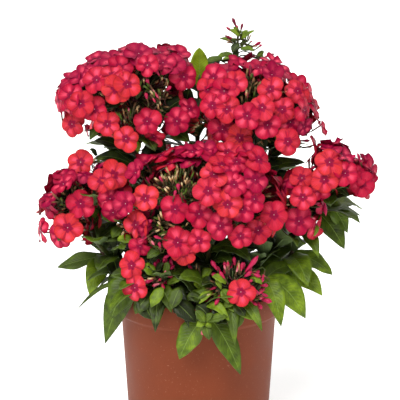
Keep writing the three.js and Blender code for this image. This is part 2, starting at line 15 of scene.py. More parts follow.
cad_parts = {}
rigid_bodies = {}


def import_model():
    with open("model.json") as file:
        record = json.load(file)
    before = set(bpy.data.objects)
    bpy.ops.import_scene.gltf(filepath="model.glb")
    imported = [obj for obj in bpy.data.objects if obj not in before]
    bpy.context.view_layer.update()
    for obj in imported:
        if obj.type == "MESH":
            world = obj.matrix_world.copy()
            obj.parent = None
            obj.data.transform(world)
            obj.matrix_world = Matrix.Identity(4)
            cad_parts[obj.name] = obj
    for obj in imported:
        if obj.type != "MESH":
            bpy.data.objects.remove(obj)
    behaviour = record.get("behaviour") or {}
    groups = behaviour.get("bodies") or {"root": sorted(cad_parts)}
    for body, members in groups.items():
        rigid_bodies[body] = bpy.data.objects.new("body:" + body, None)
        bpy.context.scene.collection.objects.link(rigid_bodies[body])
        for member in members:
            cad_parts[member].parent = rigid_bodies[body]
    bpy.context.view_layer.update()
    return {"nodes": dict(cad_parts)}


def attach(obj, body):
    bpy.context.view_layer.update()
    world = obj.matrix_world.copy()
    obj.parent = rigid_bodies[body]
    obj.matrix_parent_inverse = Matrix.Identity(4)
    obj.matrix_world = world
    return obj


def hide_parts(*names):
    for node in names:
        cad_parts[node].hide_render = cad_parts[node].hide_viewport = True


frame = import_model()

bl_info = {
    "name": "Potted Phlox",
    "version": (1, 0, 0),
    "blender": (4, 5, 0),
    "location": "3D View > Sidebar > Phlox",
    "description": "Grows the flower heads, foliage and pot of a garden phlox on its packed frame",
    "category": "Object",
}

MM = 0.001
TURN = 2 * math.pi
GOLDEN_ANGLE = math.pi * (3 - math.sqrt(5))
UP = Vector((0, 0, 1))
FRONT = Vector((0, -1, 0))

# ---- How the plant grows: millimetres, the same places as the frame ------------------------------

# A head is built of rounded lobes: a middle and half-sizes. `open` lists where buds stand instead
# of florets: a direction from the first lobe's middle and a half-angle. `single` is a floret on its
# own: its middle and where it faces. The other lists are what shows on the plant's best side, placed
# by how far to the right of the camera's aim and how far above it they are seen from the front, in
# millimetres at the aim's distance, the deepest first. A floret in `in_view` has how far it faces
# right and up, its colour from coral to crimson, and its size. That colour is partly the floret's own
# and partly painted shade: the florets that face up mostly get the deeper crimson, for the grazing
# light on a head's top. `husks` has a cluster's spread, how many, how far they lean right and up, and
# how dry they are. A bud in `closed` has its foot, its tip, its width and its colour from pale to
# burgundy. A leaflet in `bracts` has its foot, its tip, its half-width and its brightness, which is
# painted light and shade: a low one is drawn dark green for the shade inside the plant.
HEADS = {
    "upper_left": {
        "lobes": (
            ((-69, -18, 376), (52, 50, 52)), ((-119, -18, 373), (25, 34, 34)),
            ((-34, -8, 399), (26, 32, 26)), ((-21, -34, 355), (15, 15, 15)),
        ),
        "open": (((0.36, -0.9, 0.12), 0.32), ((-0.25, -0.8, -0.42), 0.2)),
        "single": (((-135, -36, 348), (-0.4, -0.9, 0.0)),),
        "in_view": (
            (-57, 163, 0.1, 0.9, 0.95, 0.9), (-43, 160, -0.1, 0.85, 0.75, 0.95),
            (-121, 149, -0.5, 0.75, 0.8, 0.95), (-108, 154, -0.3, 0.8, 0.9, 1.0),
            (-153, 109, -0.85, -0.1, 0.5, 1.05), (-151, 125, -0.8, 0.35, 0.7, 0.8),
            (-139, 131, -0.5, 0.7, 0.8, 1.0), (-24, 159, 0.35, 0.75, 0.8, 1.0),
            (-94, 153, -0.1, 0.7, 0.85, 0.95), (-111, 144, -0.4, 0.6, 0.8, 0.9),
            (-84, 154, 0.05, 0.7, 0.85, 1.0), (-130, 134, -0.3, 0.6, 0.8, 0.9),
            (-12, 143, 0.6, 0.3, 0.7, 0.9), (-29, 147, 0.1, 0.65, 0.85, 0.9),
            (-11, 99, 0.5, 0.4, 0.65, 0.9), (-140, 113, -0.6, 0.1, 0.55, 0.95),
            (-40, 149, 0.0, 0.6, 0.8, 0.9), (-87, 144, 0.0, 0.5, 0.55, 0.95),
            (-66, 159, 0.1, 0.65, 0.9, 1.05), (-95, 135, -0.2, 0.4, 0.35, 0.9),
            (-112, 130, -0.35, 0.35, 0.4, 0.95), (-50, 68, -0.45, -0.5, 0.35, 0.8),
            (-57, 146, -0.2, 0.35, 0.5, 0.85), (-123, 75, -0.95, -0.1, 0.6, 0.5),
            (-78, 125, 0.25, 0.15, 0.15, 1.0), (-17, 133, 0.25, 0.1, 0.55, 1.0),
            (-141, 99, -0.5, -0.4, 0.5, 0.75), (-114, 98, -0.1, -0.1, 0.4, 0.95),
            (-129, 104, -0.2, -0.05, 0.25, 1.0), (-100, 82, 0.0, -0.15, 0.2, 0.95),
            (-25, 85, -0.1, -0.15, 0.65, 1.0), (-91, 120, 0.0, 0.1, 0.12, 1.05),
            (-57, 85, 0.1, 0.0, 0.45, 1.0), (-80, 66, 0.05, -0.2, 0.08, 0.95),
        ),
        "husks": (
            (-38, 130, 7.5, 16, 0.1, 0.7, 0.2), (-70, 136, 4.5, 6, 0.0, 0.6, 0.1),
            (-43, 113, 8.5, 16, 0.1, 0.6, 0.6), (-55, 118, 6.5, 8, -0.2, 0.3, 0.1),
            (-84, 90, 5.5, 12, -0.2, 0.6, 0.5), (-73, 95, 6.5, 12, 0.1, 0.7, 0.4),
            (-1, 84, 5.5, 16, 0.8, -0.3, 0.6), (-6, 75, 5.5, 9, 0.6, 0.2, 0.5),
            (-110, 114, 4.5, 6, -0.5, 0.4, 0.2), (-60, 131, 6.5, 8, 0.1, 0.6, -0.1),
            (-44, 107, 6.5, 8, 0.0, 0.7, 0.1),
        ),
        "closed": (
            (-55, 125, -58, 131, 5, 0.55), (-53, 122, -44, 109, 3, 0.1), (-37, 118, -31, 123, 5, 0.5),
            (-43, 133, -49, 143, 4, 0.4), (-57, 109, -59, 116, 5, 0.6), (-52, 112, -48, 105, 3, 0.15),
            (-77, 92, -77, 100, 3, 0.0), (-14, 108, -12, 117, 4, 0.9), (-21, 119, -23, 132, 3, 0.2),
            (-149, 89, -150, 98, 3, 0.25), (-146, 90, -145, 97, 4, 0.5),
        ),
        "bracts": (
            (-43, 89, -18, 109, 10, 0.0), (-37, 76, -11, 63, 9, 0.35), (-26, 95, -43, 110, 8, 0.0),
            (-65, 76, -37, 52, 10, 0.0), (-54, 89, -77, 78, 8, 0.0), (-17, 93, -11, 121, 7, 0.05),
            (-86, 104, -102, 99, 7, 0.1), (-38, 56, -65, 45, 9, 0.0), (-13, 95, -24, 117, 5, 0.1),
            (-69, 63, -67, 51, 4, 0.9), (-109, 77, -119, 65, 4, 0.4), (-54, 97, -43, 78, 8, 0.0),
        ),
    },
    "upper_right": {
        "lobes": (((58, -10, 361), (50, 48, 50)), ((104, -10, 356), (22, 32, 32))),
        "open": (((-0.05, -0.75, 0.65), 0.24),),
        "in_view": (
            (41, 147, 0.0, 0.85, 0.75, 0.8), (78, 150, 0.3, 0.85, 0.8, 0.9), (30, 139, -0.2, 0.7, 0.8, 1.0),
            (90, 140, 0.55, 0.7, 0.75, 0.9), (63, 144, 0.1, 0.7, 0.7, 0.9), (103, 126, 0.5, 0.6, 0.65, 0.9),
            (78, 136, 0.3, 0.55, 0.9, 0.9), (117, 117, 0.85, 0.35, 0.55, 0.9),
            (14, 132, -0.4, 0.35, 0.6, 1.0), (8, 119, -0.5, 0.1, 0.3, 0.9), (37, 127, -0.1, 0.4, 0.35, 1.0),
            (125, 100, 0.92, 0.2, 0.6, 0.7), (131, 81, 0.8, 0.52, 0.5, 0.8),
            (126, 60, 0.93, 0.25, 0.5, 0.85), (114, 97, 0.8, 0.1, 0.45, 1.0),
            (113, 79, 0.6, -0.3, 0.95, 0.7), (76, 120, 0.1, 0.25, 0.25, 0.95),
            (106, 118, 0.35, 0.2, 0.3, 0.95), (26, 118, -0.1, 0.3, 0.5, 0.95),
            (89, 98, 0.15, 0.2, 0.3, 1.0), (13, 102, -0.35, 0.0, 0.4, 1.0),
            (67, 100, -0.1, 0.15, 0.3, 0.95), (51, 91, 0.05, 0.1, 0.5, 1.0), (98, 84, 0.3, 0.0, 0.6, 0.95),
            (24, 76, -0.2, -0.2, 0.55, 1.0), (73, 81, 0.0, -0.05, 0.5, 1.0),
            (29, 98, -0.05, 0.05, 0.25, 1.0), (43, 67, 0.05, -0.15, 0.1, 1.0),
            (95, 63, 0.1, -0.1, 0.3, 1.0),
        ),
        "husks": (
            (54, 132, 6.5, 18, 0.0, 0.8, -0.6), (54, 121, 8.5, 20, 0.1, 0.7, -0.8),
            (60, 112, 5.5, 8, 0.2, 0.6, -0.5), (110, 73, 3, 4, 0.5, -0.3, 0.5),
            (95, 117, 5.5, 8, 0.3, 0.5, 0.0), (50, 109, 6.5, 8, 0.0, 0.6, 0.0),
            (68, 135, 3, 4, 0.2, 0.7, 0.1), (58, 94, 4.5, 5, 0.1, 0.5, 0.0),
            (106, 104, 3, 4, 0.7, 0.1, 0.2), (62, 58, 3, 3, 0.6, 0.2, 0.5),
        ),
        "closed": (
            (51, 110, 50, 117, 5, 0.5), (109, 64, 119, 64, 4, 0.5), (105, 57, 122, 57, 2, 0.95),
            (55, 134, 54, 147, 4, 0.9), (29, 127, 32, 134, 5, 0.9),
        ),
        "bracts": (
            (63, 76, 69, 52, 7, 0.05), (59, 99, 62, 82, 4, 0.1), (50, 104, 41, 117, 7, 0.0),
            (67, 58, 89, 65, 7, 0.0), (82, 65, 89, 78, 4, 0.5), (76, 48, 95, 54, 6, 0.1),
            (45, 99, 60, 106, 7, 0.0), (92, 108, 104, 104, 5, 0.0), (67, 119, 54, 106, 8, 0.0),
        ),
    },
    "front": {
        "lobes": (
            ((14, -62, 274), (72, 42, 50)), ((-36, -70, 246), (36, 32, 32)), ((62, -64, 259), (26, 30, 28)),
        ),
        "open": (((-0.45, -0.6, 0.42), 0.34),),
        "in_view": (
            (-43, 49, -0.4, 0.87, 0.4, 1.05), (-59, 41, -0.45, 0.83, 0.6, 1.0),
            (-19, 51, -0.1, 0.9, 0.75, 1.0), (5, 54, 0.25, 0.85, 0.85, 1.0),
            (-8, 53, 0.0, 0.75, 0.75, 0.85), (30, 52, 0.2, 0.7, 0.3, 1.0), (-35, 40, -0.3, 0.87, 0.2, 1.0),
            (-70, 30, -0.6, 0.4, 0.8, 0.9), (-14, 45, 0.05, 0.9, 0.85, 1.0), (53, 51, 0.2, 0.7, 0.6, 1.0),
            (15, 46, 0.4, 0.7, 0.7, 0.95), (24, 38, 0.3, 0.6, 0.35, 0.95), (40, 42, 0.25, 0.6, 0.5, 1.0),
            (64, 44, 0.5, 0.4, 0.4, 1.0), (-65, -51, -0.3, -0.6, 0.6, 0.8),
            (-58, -31, 0.7, -0.3, 0.85, 0.7), (-81, -4, -0.4, 0.1, 0.8, 0.95), (31, 30, 0.1, 0.4, 0.6, 0.9),
            (60, 22, 0.35, 0.15, 0.75, 1.0), (-17, -58, -0.05, -0.4, 0.1, 0.95),
            (37, 17, 0.1, 0.3, 0.6, 0.95), (59, 1, 0.4, 0.0, 0.55, 0.9), (15, 28, 0.05, 0.35, 0.2, 1.0),
            (46, -10, 0.2, 0.1, 0.65, 1.0), (-70, -27, -0.62, -0.1, 0.15, 1.05),
            (-1, -44, 0.0, -0.15, 0.35, 0.9), (63, -33, 0.1, -0.1, 0.35, 1.0),
            (9, 10, 0.0, 0.15, 0.35, 1.05), (44, -39, 0.1, -0.2, 0.45, 0.9),
            (30, -5, 0.05, 0.1, 0.15, 1.05), (80, -16, 0.1, 0.0, 0.4, 1.05),
            (-1, -15, 0.05, 0.05, 0.5, 1.02), (22, -28, 0.05, -0.05, 0.6, 1.0),
            (-24, -46, 0.0, 0.0, 0.4, 1.1), (-27, -10, -0.05, 0.05, 0.5, 1.05),
            (-59, 2, -0.1, 0.05, 0.05, 1.0),
        ),
        "husks": (
            (-13, 31, 7.5, 20, 0.0, 0.9, 0.9), (-26, 29, 7.5, 16, -0.1, 0.9, 0.8),
            (-40, 28, 6.5, 14, -0.3, 0.8, 0.9), (-50, 22, 5.5, 10, -0.6, 0.5, 0.8),
            (-19, 19, 9.5, 22, 0.0, 0.7, 0.6), (-35, 16, 8.5, 14, -0.3, 0.6, 0.5),
            (-22, 10, 8.5, 14, 0.1, 0.5, 0.5), (-11, 17, 5.5, 12, 0.1, 0.7, 0.5),
            (-55, 28, 6.5, 8, -0.6, 0.6, 0.2), (-44, -23, 6.5, 16, -0.5, 0.4, 0.8),
            (-42, -32, 6.5, 14, -0.6, 0.0, 0.7), (-38, -28, 6.5, 8, 0.5, -0.3, 0.4),
            (-48, -55, 6.5, 12, -0.4, 0.2, 0.7), (-54, -46, 5.5, 6, -0.4, 0.4, 0.5),
            (-85, -28, 5.5, 12, -0.3, 0.1, 0.8), (-80, -33, 3, 6, 0.2, -0.3, 0.6),
            (-52, -16, 5.5, 8, 0.0, 0.3, 0.0), (17, 37, 4.5, 4, 0.1, 0.6, 0.5),
            (-18, -28, 3, 3, 0.2, 0.2, 0.8), (51, 4, 3, 5, 0.2, 0.4, -0.1), (26, 12, 3, 4, 0.0, 0.3, 0.0),
            (-76, 2, 4.5, 6, -0.2, 0.5, 0.2), (-65, 24, 5.5, 6, -0.3, 0.6, 0.0),
        ),
        "closed": (
            (-23, 11, -24, 18, 6, 0.45), (-54, 17, -58, 25, 4, 0.5), (-40, 19, -44, 26, 4, 0.45),
            (-28, 4, -26, 11, 4, 0.5), (-41, -42, -50, -39, 4, 0.55), (-43, -52, -44, -45, 5, 0.5),
            (-59, -33, -63, -43, 4, 0.95), (-54, -42, -49, -49, 3, 0.0), (-30, -58, -40, -63, 4, 0.6),
            (-80, 11, -75, 15, 5, 0.5), (-59, -24, -51, -22, 5, 0.5), (-31, -63, -32, -70, 5, 0.5),
            (-56, -39, -67, -46, 4, 0.3), (-13, -67, -9, -77, 5, 0.45), (28, 45, 35, 43, 3, 0.1),
            (49, 11, 54, 8, 3, 0.9),
        ),
        "bracts": (
            (-43, 4, -45, -16, 7, 0.0), (-54, -13, -42, -24, 8, 0.0), (-37, -30, -54, -50, 9, 0.0),
            (-24, -26, -9, -32, 6, 0.1), (-30, 35, -17, 43, 8, 0.0), (-39, 15, -28, 30, 8, 0.1),
            (4, -32, 15, -48, 8, 0.0), (45, 26, 54, 0, 6, 0.0), (-43, -56, -57, -63, 5, 0.3),
            (-69, 11, -78, -2, 6, 0.0), (-78, 17, -63, 32, 7, 0.1), (-54, -67, -31, -54, 9, 0.15),
            (27, 11, 40, 4, 5, 0.0), (-43, -39, -35, -54, 5, 0.1), (-89, -43, -72, -46, 5, 0.75),
        ),
    },
    "left": {
        "lobes": (((-97, -52, 286), (18, 24, 24)), ((-134, -45, 264), (28, 34, 36))),
        "open": (((-0.79, -0.59, -0.16), 0.3),),
        "single": (((-125, -46, 311), (-0.2, -0.8, 0.4)),),
        "in_view": (
            (-146, 26, -0.2, 0.75, 0.75, 0.85), (-124, 28, 0.1, 0.85, 0.95, 0.8),
            (-162, 3, -0.45, 0.8, 0.95, 0.85), (-173, -33, -0.94, -0.1, 0.55, 0.95),
            (-165, -9, -0.72, -0.35, 0.75, 0.85), (-94, -14, 0.0, -0.5, 0.7, 0.9),
            (-148, 18, -0.4, 0.6, 0.7, 0.95), (-86, 13, 0.4, -0.1, 0.3, 0.9),
            (-97, 1, 0.1, -0.35, 0.6, 0.95), (-153, -40, -0.4, -0.25, 0.65, 0.95),
            (-106, 21, -0.15, 0.05, 0.25, 0.95), (-129, -4, -0.1, -0.05, 0.5, 1.07),
            (-93, 27, 0.1, 0.1, 0.1, 1.07), (-143, -30, -0.05, -0.1, 0.15, 1.1),
        ),
        "husks": (
            (-149, 4, 6.5, 12, -0.6, 0.5, 0.5), (-136, 14, 6.5, 14, -0.2, 0.8, 0.6),
            (-110, 8, 4.5, 9, 0.4, 0.4, 0.5), (-111, 42, 4.5, 7, 0.6, 0.3, 0.7),
            (-121, 21, 5.5, 8, 0.0, 0.6, 0.0), (-151, -3, 4.5, 5, -0.6, 0.1, 0.3),
            (-111, -4, 3, 4, 0.4, 0.1, 0.0),
        ),
        "closed": (
            (-94, -15, -94, -24, 5, 0.5), (-99, -8, -96, -1, 3, 0.15), (-164, -35, -168, -35, 2, 0.9),
        ),
        "bracts": (
            (-119, 24, -127, 15, 5, 0.0), (-116, -10, -113, -28, 7, 0.05), (-123, -24, -130, -31, 4, 0.1),
            (-104, -14, -98, -24, 5, 0.6), (-116, 22, -121, 11, 6, 0.0), (-84, -30, -95, -41, 6, 0.6),
            (-112, 48, -119, 54, 2, 0.1), (-86, -17, -79, -26, 5, 0.1),
        ),
    },
    "right": {
        "lobes": (
            ((142, -38, 302), (24, 28, 25)), ((168, -30, 290), (18, 22, 24)),
            ((112, -46, 268), (20, 22, 32)),
        ),
        "open": (),
        "in_view": (
            (141, 55, -0.1, 0.87, 0.85, 0.9), (154, 49, 0.35, 0.75, 0.9, 0.9),
            (179, 40, 0.7, 0.65, 0.9, 0.85), (96, 21, -0.3, 0.75, 0.8, 0.95),
            (134, -5, 0.9, -0.25, 0.7, 0.85), (185, 31, 0.75, 0.15, 0.7, 0.9),
            (108, 17, 0.1, 0.6, 0.75, 0.95), (168, 27, 0.1, 0.3, 0.55, 0.9),
            (110, 24, -0.1, 0.2, 0.25, 0.85), (130, 11, -0.1, -0.5, 0.5, 0.85),
            (157, 29, 0.2, 0.15, 0.5, 0.95), (111, 3, -0.1, 0.0, 0.3, 0.95), (175, 17, 0.2, -0.1, 0.5, 1.0),
            (107, -23, 0.1, -0.05, 0.65, 1.07), (140, 41, 0.05, 0.2, 0.15, 1.07),
            (134, 22, -0.05, 0.0, 0.2, 1.0),
        ),
        "husks": (
            (95, -3, 3, 5, -0.3, 0.3, 0.7), (167, 43, 4.5, 5, 0.3, 0.7, 0.0),
            (126, -6, 4.5, 4, 0.8, 0.0, 0.0),
        ),
        "closed": (
            (78, 0, 72, 8, 5, 0.5), (91, -1, 81, 11, 4, 0.4), (162, 43, 168, 49, 5, 0.55),
            (174, 39, 170, 51, 4, 0.6), (117, 31, 125, 37, 4, 0.6), (119, -5, 130, -3, 3, 0.95),
            (134, 2, 136, -17, 5, 0.5), (179, 39, 178, 48, 3, 0.6), (120, -18, 125, -21, 3, 0.1),
        ),
        "bracts": (
            (67, 30, 91, 37, 9, 0.0), (73, 13, 67, 37, 9, 0.0), (82, 13, 97, 30, 9, 0.0),
            (71, 11, 97, 11, 8, 0.1), (140, 4, 162, 5, 6, 0.1), (147, 13, 160, 4, 4, 0.1),
            (127, -5, 121, -17, 6, 0.0), (67, 4, 93, -4, 9, 0.0), (73, 22, 86, 11, 5, 0.45),
            (125, 0, 135, -15, 5, 0.1), (125, -26, 121, -41, 5, 0.7),
        ),
    },
    "back_left": {
        "lobes": (((-84, 90, 338), (37, 35, 35)),),
        "open": (((0.2, 0.5, 0.8), 0.36),),
    },
    "back_right": {
        "lobes": (((82, 92, 334), (37, 35, 35)),),
        "open": (((0.3, 0.5, 0.8), 0.36),),
    },
    "back": {
        "lobes": (((-4, 100, 264), (44, 34, 36)),),
        "open": (((-0.3, 0.5, 0.8), 0.36),),
    },
    "low_left": {
        "lobes": (((-46, -84, 198), (20, 12, 16)),),
        "single": (((-71, -94, 211), (-0.3, -0.9, 0.35)), ((-67, -100, 188), (-0.45, -0.85, 0.1))),
        "husks": (
            (-52, -86, 3, 6, -0.7, 0.1, 0.6), (-9, -82, 3, 6, -0.6, 0.3, 0.6),
            (-2, -75, 3, 5, -0.1, 0.8, 0.8),
        ),
        "closed": (
            (-50, -86, -60, -89, 5, 0.5), (-43, -90, -52, -93, 4, 0.05), (-41, -90, -39, -97, 5, 0.3),
            (-45, -87, -42, -85, 4, 0.3), (-35, -72, -39, -81, 3, 0.05), (-38, -67, -35, -75, 5, 0.55),
            (-40, -68, -38, -62, 4, 0.6), (-29, -71, -33, -64, 4, 0.45), (-5, -84, -12, -85, 4, 0.2),
            (-4, -83, -15, -78, 3, 0.1), (-31, -91, -33, -89, 3, 0.0),
        ),
        "bracts": (
            (-35, -91, -19, -86, 4, 0.6), (-48, -82, -63, -72, 6, 0.7), (-37, -82, -35, -67, 3, 0.5),
            (-4, -87, -1, -97, 4, 1.0), (2, -85, 13, -76, 4.5, 0.75), (-38, -92, -43, -78, 4, 0.2),
            (-39, -99, -43, -108, 5, 0.75),
        ),
        "buds_only": True,
    },
    "low_front": {
        "lobes": (((40, -90, 188), (32, 16, 26)),),
        "single": (((43, -110, 187), (-0.25, -0.85, 0.3)),),
        "husks": (
            (30, -75, 3, 6, 0.0, 0.9, 0.8), (41, -75, 3, 6, 0.1, 0.9, 0.9),
            (58, -106, 4.5, 8, 0.6, 0.1, 0.5), (17, -100, 4.5, 8, -0.3, -0.3, 0.4),
            (56, -82, 4.5, 5, 0.5, 0.2, 0.4),
        ),
        "closed": (
            (19, -76, 12, -65, 6, 0.45), (27, -85, 21, -77, 5, 0.45), (31, -77, 30, -66, 4, 0.1),
            (28, -77, 26, -70, 3, 0.0), (39, -79, 43, -68, 4, 0.1), (44, -78, 46, -67, 4, 0.25),
            (49, -78, 63, -60, 6.5, 0.45), (48, -83, 56, -77, 6, 0.6), (55, -79, 66, -83, 5, 0.5),
            (69, -80, 66, -90, 5, 0.45), (71, -83, 67, -81, 3, 0.1), (52, -98, 64, -100, 6, 0.5),
            (66, -107, 78, -110, 6.5, 0.5), (62, -110, 67, -118, 5, 0.5), (11, -106, 0, -116, 6.5, 0.5),
            (22, -102, 16, -114, 5, 0.55), (17, -107, 14, -117, 5, 0.9), (10, -97, 18, -94, 4, 0.3),
            (22, -111, 21, -123, 2.5, 0.05), (13, -107, 11, -117, 3, 0.0), (58, -104, 69, -98, 3, 0.15),
            (60, -108, 69, -105, 3, 0.1), (54, -108, 62, -114, 4, 0.2), (52, -89, 57, -86, 4, 0.5),
        ),
        "bracts": (
            (28, -90, 13, -83, 4, 0.8), (17, -87, 23, -97, 2.5, 0.6), (24, -97, 31, -112, 5, 0.75),
            (54, -85, 67, -91, 3, 0.8), (13, -99, -1, -112, 4, 0.9), (15, -104, 26, -110, 4, 0.5),
            (48, -109, 54, -100, 3, 0.5), (37, -110, 26, -117, 5, 0.6), (54, -97, 67, -86, 6, 0.1),
        ),
        "buds_only": True,
    },
}

# The open spray at the top of the bare stem, on the same front view: buds and leaflets as above.
SPRAY = {
    "closed": (
        (39, 187, 35, 197, 4.2, 0.85), (44, 183, 46, 191, 3.4, 0.95), (36, 181, 28, 187, 3, 0.6),
        (40, 184, 40, 189, 2.4, 0.3), (35, 174, 28, 177, 3.4, 0.75), (31, 175, 27, 178, 2.4, 0.9),
        (52, 177, 53, 181, 2.4, 0.9), (58, 166, 66, 171, 4, 0.6), (54, 170, 56, 172, 2.4, 0.2),
        (69, 154, 81, 158, 3.4, 0.7), (17, 147, 13, 143, 3, 0.95), (24, 150, 19, 153, 2.6, 0.6),
        (63, 165, 67, 168, 2.8, 0.4), (32, 171, 29, 173, 2.6, 0.2),
    ),
    "husks": (
        (39, 183, 2, 3, -0.4, 0.8, 0.1), (45, 179, 2, 3, 0.3, 0.9, 0.0), (31, 173, 3, 5, -0.8, 0.3, 0.3),
        (51, 176, 3, 4, 0.6, 0.6, 0.1), (56, 165, 3, 5, 0.8, 0.3, 0.2), (19, 150, 3, 7, -0.4, 0.4, 0.1),
        (65, 156, 2, 3, 0.7, 0.3, 0.1), (40, 168, 3, 4, -0.5, 0.5, 0.0),
    ),
    "bracts": (
        (43, 177, 36, 187, 2, 0.7), (42, 177, 32, 184, 1.8, 0.8), (44, 175, 52, 183, 2, 0.75),
        (45, 174, 59, 183, 1.6, 0.7), (39, 171, 21, 174, 2.2, 0.6), (42, 168, 35, 159, 4.5, 0.25),
        (44, 163, 59, 161, 2.8, 0.55), (62, 151, 69, 161, 3, 0.5), (44, 166, 52, 172, 2.4, 0.75),
        (35, 157, 18, 154, 3, 0.6), (36, 151, 24, 150, 3.4, 0.75), (67, 148, 73, 146, 2.6, 0.8),
        (24, 153, 5, 148, 3.6, 0.4), (6, 149, 0, 121, 4, 0.1), (36, 160, 41, 154, 3, 0.3),
    ),
    "arms": ((43, 166, 58, 166), (43, 171, 29, 173), (43, 154, 67, 154), (43, 154, 18, 150)),
    "depth": 64,
    "sway": 9,
}

# The sprig of small leaves and pale buds where the shoot hangs over the rim.
RIM_SPRIG = {
    "closed": ((5, -138, 2, -146, 4.6, 0.0), (8, -136, 6, -144, 3.6, -0.1)),
    "bracts": (
        (5, -132, -5, -120, 4.5, 0.5), (6, -131, 14, -123, 3, 0.55), (8, -131, 30, -126, 4.5, 0.5),
        (5, -134, -4, -137, 3.4, 0.75), (6, -135, 12, -138, 2.6, 0.8), (6, -136, 10, -151, 5, 0.4),
    ),
    "depth": -115,
    "sway": 2,
}

# The side leaves of that shoot, which lie over the rim behind the sprig.
RIM_LEAVES = {
    "closed": (),
    "bracts": (
        (-15, -108, 14, -98, 6, 0.45), (-66, -106, -52, -129, 10, 0.15), (-30, -108, -5, -132, 10, 0.0),
        (24, -111, 60, -130, 5.5, 0.7), (44, -118, 36, -141, 7, 0.4), (17, -114, 24, -131, 8, 0.05),
        (1, -108, -14, -104, 6, 0.2), (-26, -111, -17, -126, 8, 0.05), (-22, -95, -31, -118, 7, 0.3),
        (-40, -95, -53, -116, 6, 0.7), (35, -127, 15, -133, 6, 0.1), (-56, -104, -70, -123, 8, 0.2),
        (-4, -114, 9, -125, 9, 0.0), (37, -112, 48, -125, 7, 0.1),
    ),
    "depth": -98,
    "sway": 4,
}

# A stem's foot on the soil, and the turn of its lowest leaves. One without a head has a tip and a
# way; `rise` is its climb before it leans out, `by` a place that it bends towards, and `bare` the
# leafless top that carries a spray of buds.
STEMS = {
    "upper_left": {"foot": (-24, -6), "turn": 0.5},
    "upper_right": {"foot": (22, 2), "turn": 0.2},
    "front": {"foot": (4, -26), "turn": 0.8},
    "left": {"foot": (-44, -18), "turn": 0.1, "by": (-150, -42, 205)},
    "right": {"foot": (46, -14), "turn": 0.4, "by": (140, 6, 226)},
    "back_left": {"foot": (-34, 26), "turn": 0.7},
    "back_right": {"foot": (36, 30), "turn": 0.6},
    "back": {"foot": (-4, 40), "turn": 0.3},
    "low_left": {"foot": (-34, -42), "turn": 0.9},
    "low_front": {"foot": (20, -48), "turn": 0.5},
    "tall_bud": {"foot": (14, 22), "tip": (43, 64, 436), "way": (0, 0, 1), "turn": 0.2, "bare": 70},
    "between_heads": {"foot": (-8, 14), "tip": (1, 38, 388), "way": (0, -0.1, 1), "turn": 0.1},
    "side_left": {"foot": (-56, 4), "tip": (-108, 2, 204), "way": (-0.5, 0, 1), "turn": 0.6},
    "side_right": {"foot": (58, 6), "tip": (104, -8, 206), "way": (0.5, 0, 1), "turn": 0.3},
    "over_rim": {"foot": (0, -64), "tip": (7, -102, 150), "way": (0, -0.1, -1), "rise": 42, "turn": 0},
    "rim_left": {"foot": (-46, -46), "tip": (-66, -66, 184), "way": (-0.5, -0.5, 0.6), "turn": 1},
    "rim_right": {"foot": (50, -44), "tip": (72, -60, 186), "way": (0.6, -0.5, 0.6), "turn": 0.5},
    "side_back": {"foot": (8, 60), "tip": (10, 100, 200), "way": (0, 0.5, 1), "turn": 0.4},
}

# The large outer leaves: their stem, how far up it each grows, its tip, arch, half-width and how
# bright it is drawn, from 0 deep in the shade to 1 for a young one in full light: painted shade and
# painted light.
OUTER_LEAVES = (
    ("side_left", 0.85, (-154, 6, 180), 1, 9.5, 0.5),
    ("side_left", 0.8, (-117, -34, 160), 10, 12, 0.8),
    ("rim_left", 0.9, (-92, -72, 146), 14, 17, 0.35),
    ("rim_left", 0.5, (-100, -52, 112), 30, 16.5, 0.5),
    ("low_left", 0.3, (-45, -112, 144), 24, 11, 0.15),
    ("low_left", 0.5, (-52, -98, 163), 10, 8, 0.95),
    ("low_left", 0.62, (-92, -84, 196), 10, 10, 0.3),
    ("low_left", 0.7, (-28, -106, 163), 12, 8, 0.4),
    ("low_left", 0.4, (-10, -114, 150), 22, 9, 0.1),
    ("left", 0.6, (-137, -52, 222), 8, 9, 0.35),
    ("left", 0.57, (-128, -62, 213), 8, 6.5, 0.4),
    ("left", 0.62, (-68, -30, 219), 8, 8, 0.45),
    ("left", 0.62, (-77, -34, 235), 6, 6, 0.3),
    ("left", 0.48, (-84, -54, 178), 6, 9, 0.15),
    ("rim_left", 0.85, (-129, -50, 150), 14, 2.4, 0.3),
    ("over_rim", 0.9, (-20, -108, 113), 6, 13, 0.62),
    ("over_rim", 0.85, (44, -108, 96), 10, 11.5, 0.5),
    ("over_rim", 0.7, (32, -116, 157), 8, 5, 0.7),
    ("front", 0.3, (-36, -92, 184), 10, 11, 0.15),
    ("front", 0.36, (34, -84, 208), 12, 11, 0.12),
    ("low_front", 0.7, (66, -116, 146), 16, 6.5, 0.5),
    ("low_front", 0.4, (38, -118, 142), 24, 8, 0.4),
    ("low_front", 0.3, (4, -110, 172), 12, 8, 0.2),
    ("rim_right", 0.9, (87, -86, 142), 14, 11, 0.7),
    ("rim_right", 0.95, (114, -58, 142), 11, 15, 0.75),
    ("side_right", 0.6, (133, -34, 160), 8, 12.5, 0.75),
    ("side_right", 0.8, (116, -60, 178), 12, 13, 0.7),
    ("side_right", 0.85, (145, -12, 177), 7, 10.5, 0.5),
    ("right", 0.55, (127, -60, 210), 12, 8, 0.5),
    ("right", 0.72, (156, -34, 212), 5, 11, 0.45),
    ("right", 0.78, (160, -20, 226), 9, 10.5, 0.45),
    ("right", 0.8, (161, -20, 260), 5, 6, 0.3),
    ("right", 0.86, (161, -4, 266), 4, 4.5, 0.3),
    ("right", 0.48, (128, -38, 240), 4, 3.5, 0.4),
    ("upper_right", 0.72, (113, -22, 304), 6, 8, 0.25),
    ("upper_left", 0.72, (-112, -20, 307), 8, 8, 0.2),
    ("upper_left", 0.76, (-112, 4, 322), 8, 8, 0.25),
    ("between_heads", 0.93, (1, 36, 418), 4, 9, 1.1),
)

SPRAYS = {"tall_bud": (SPRAY,), "over_rim": (RIM_SPRIG, RIM_LEAVES)}

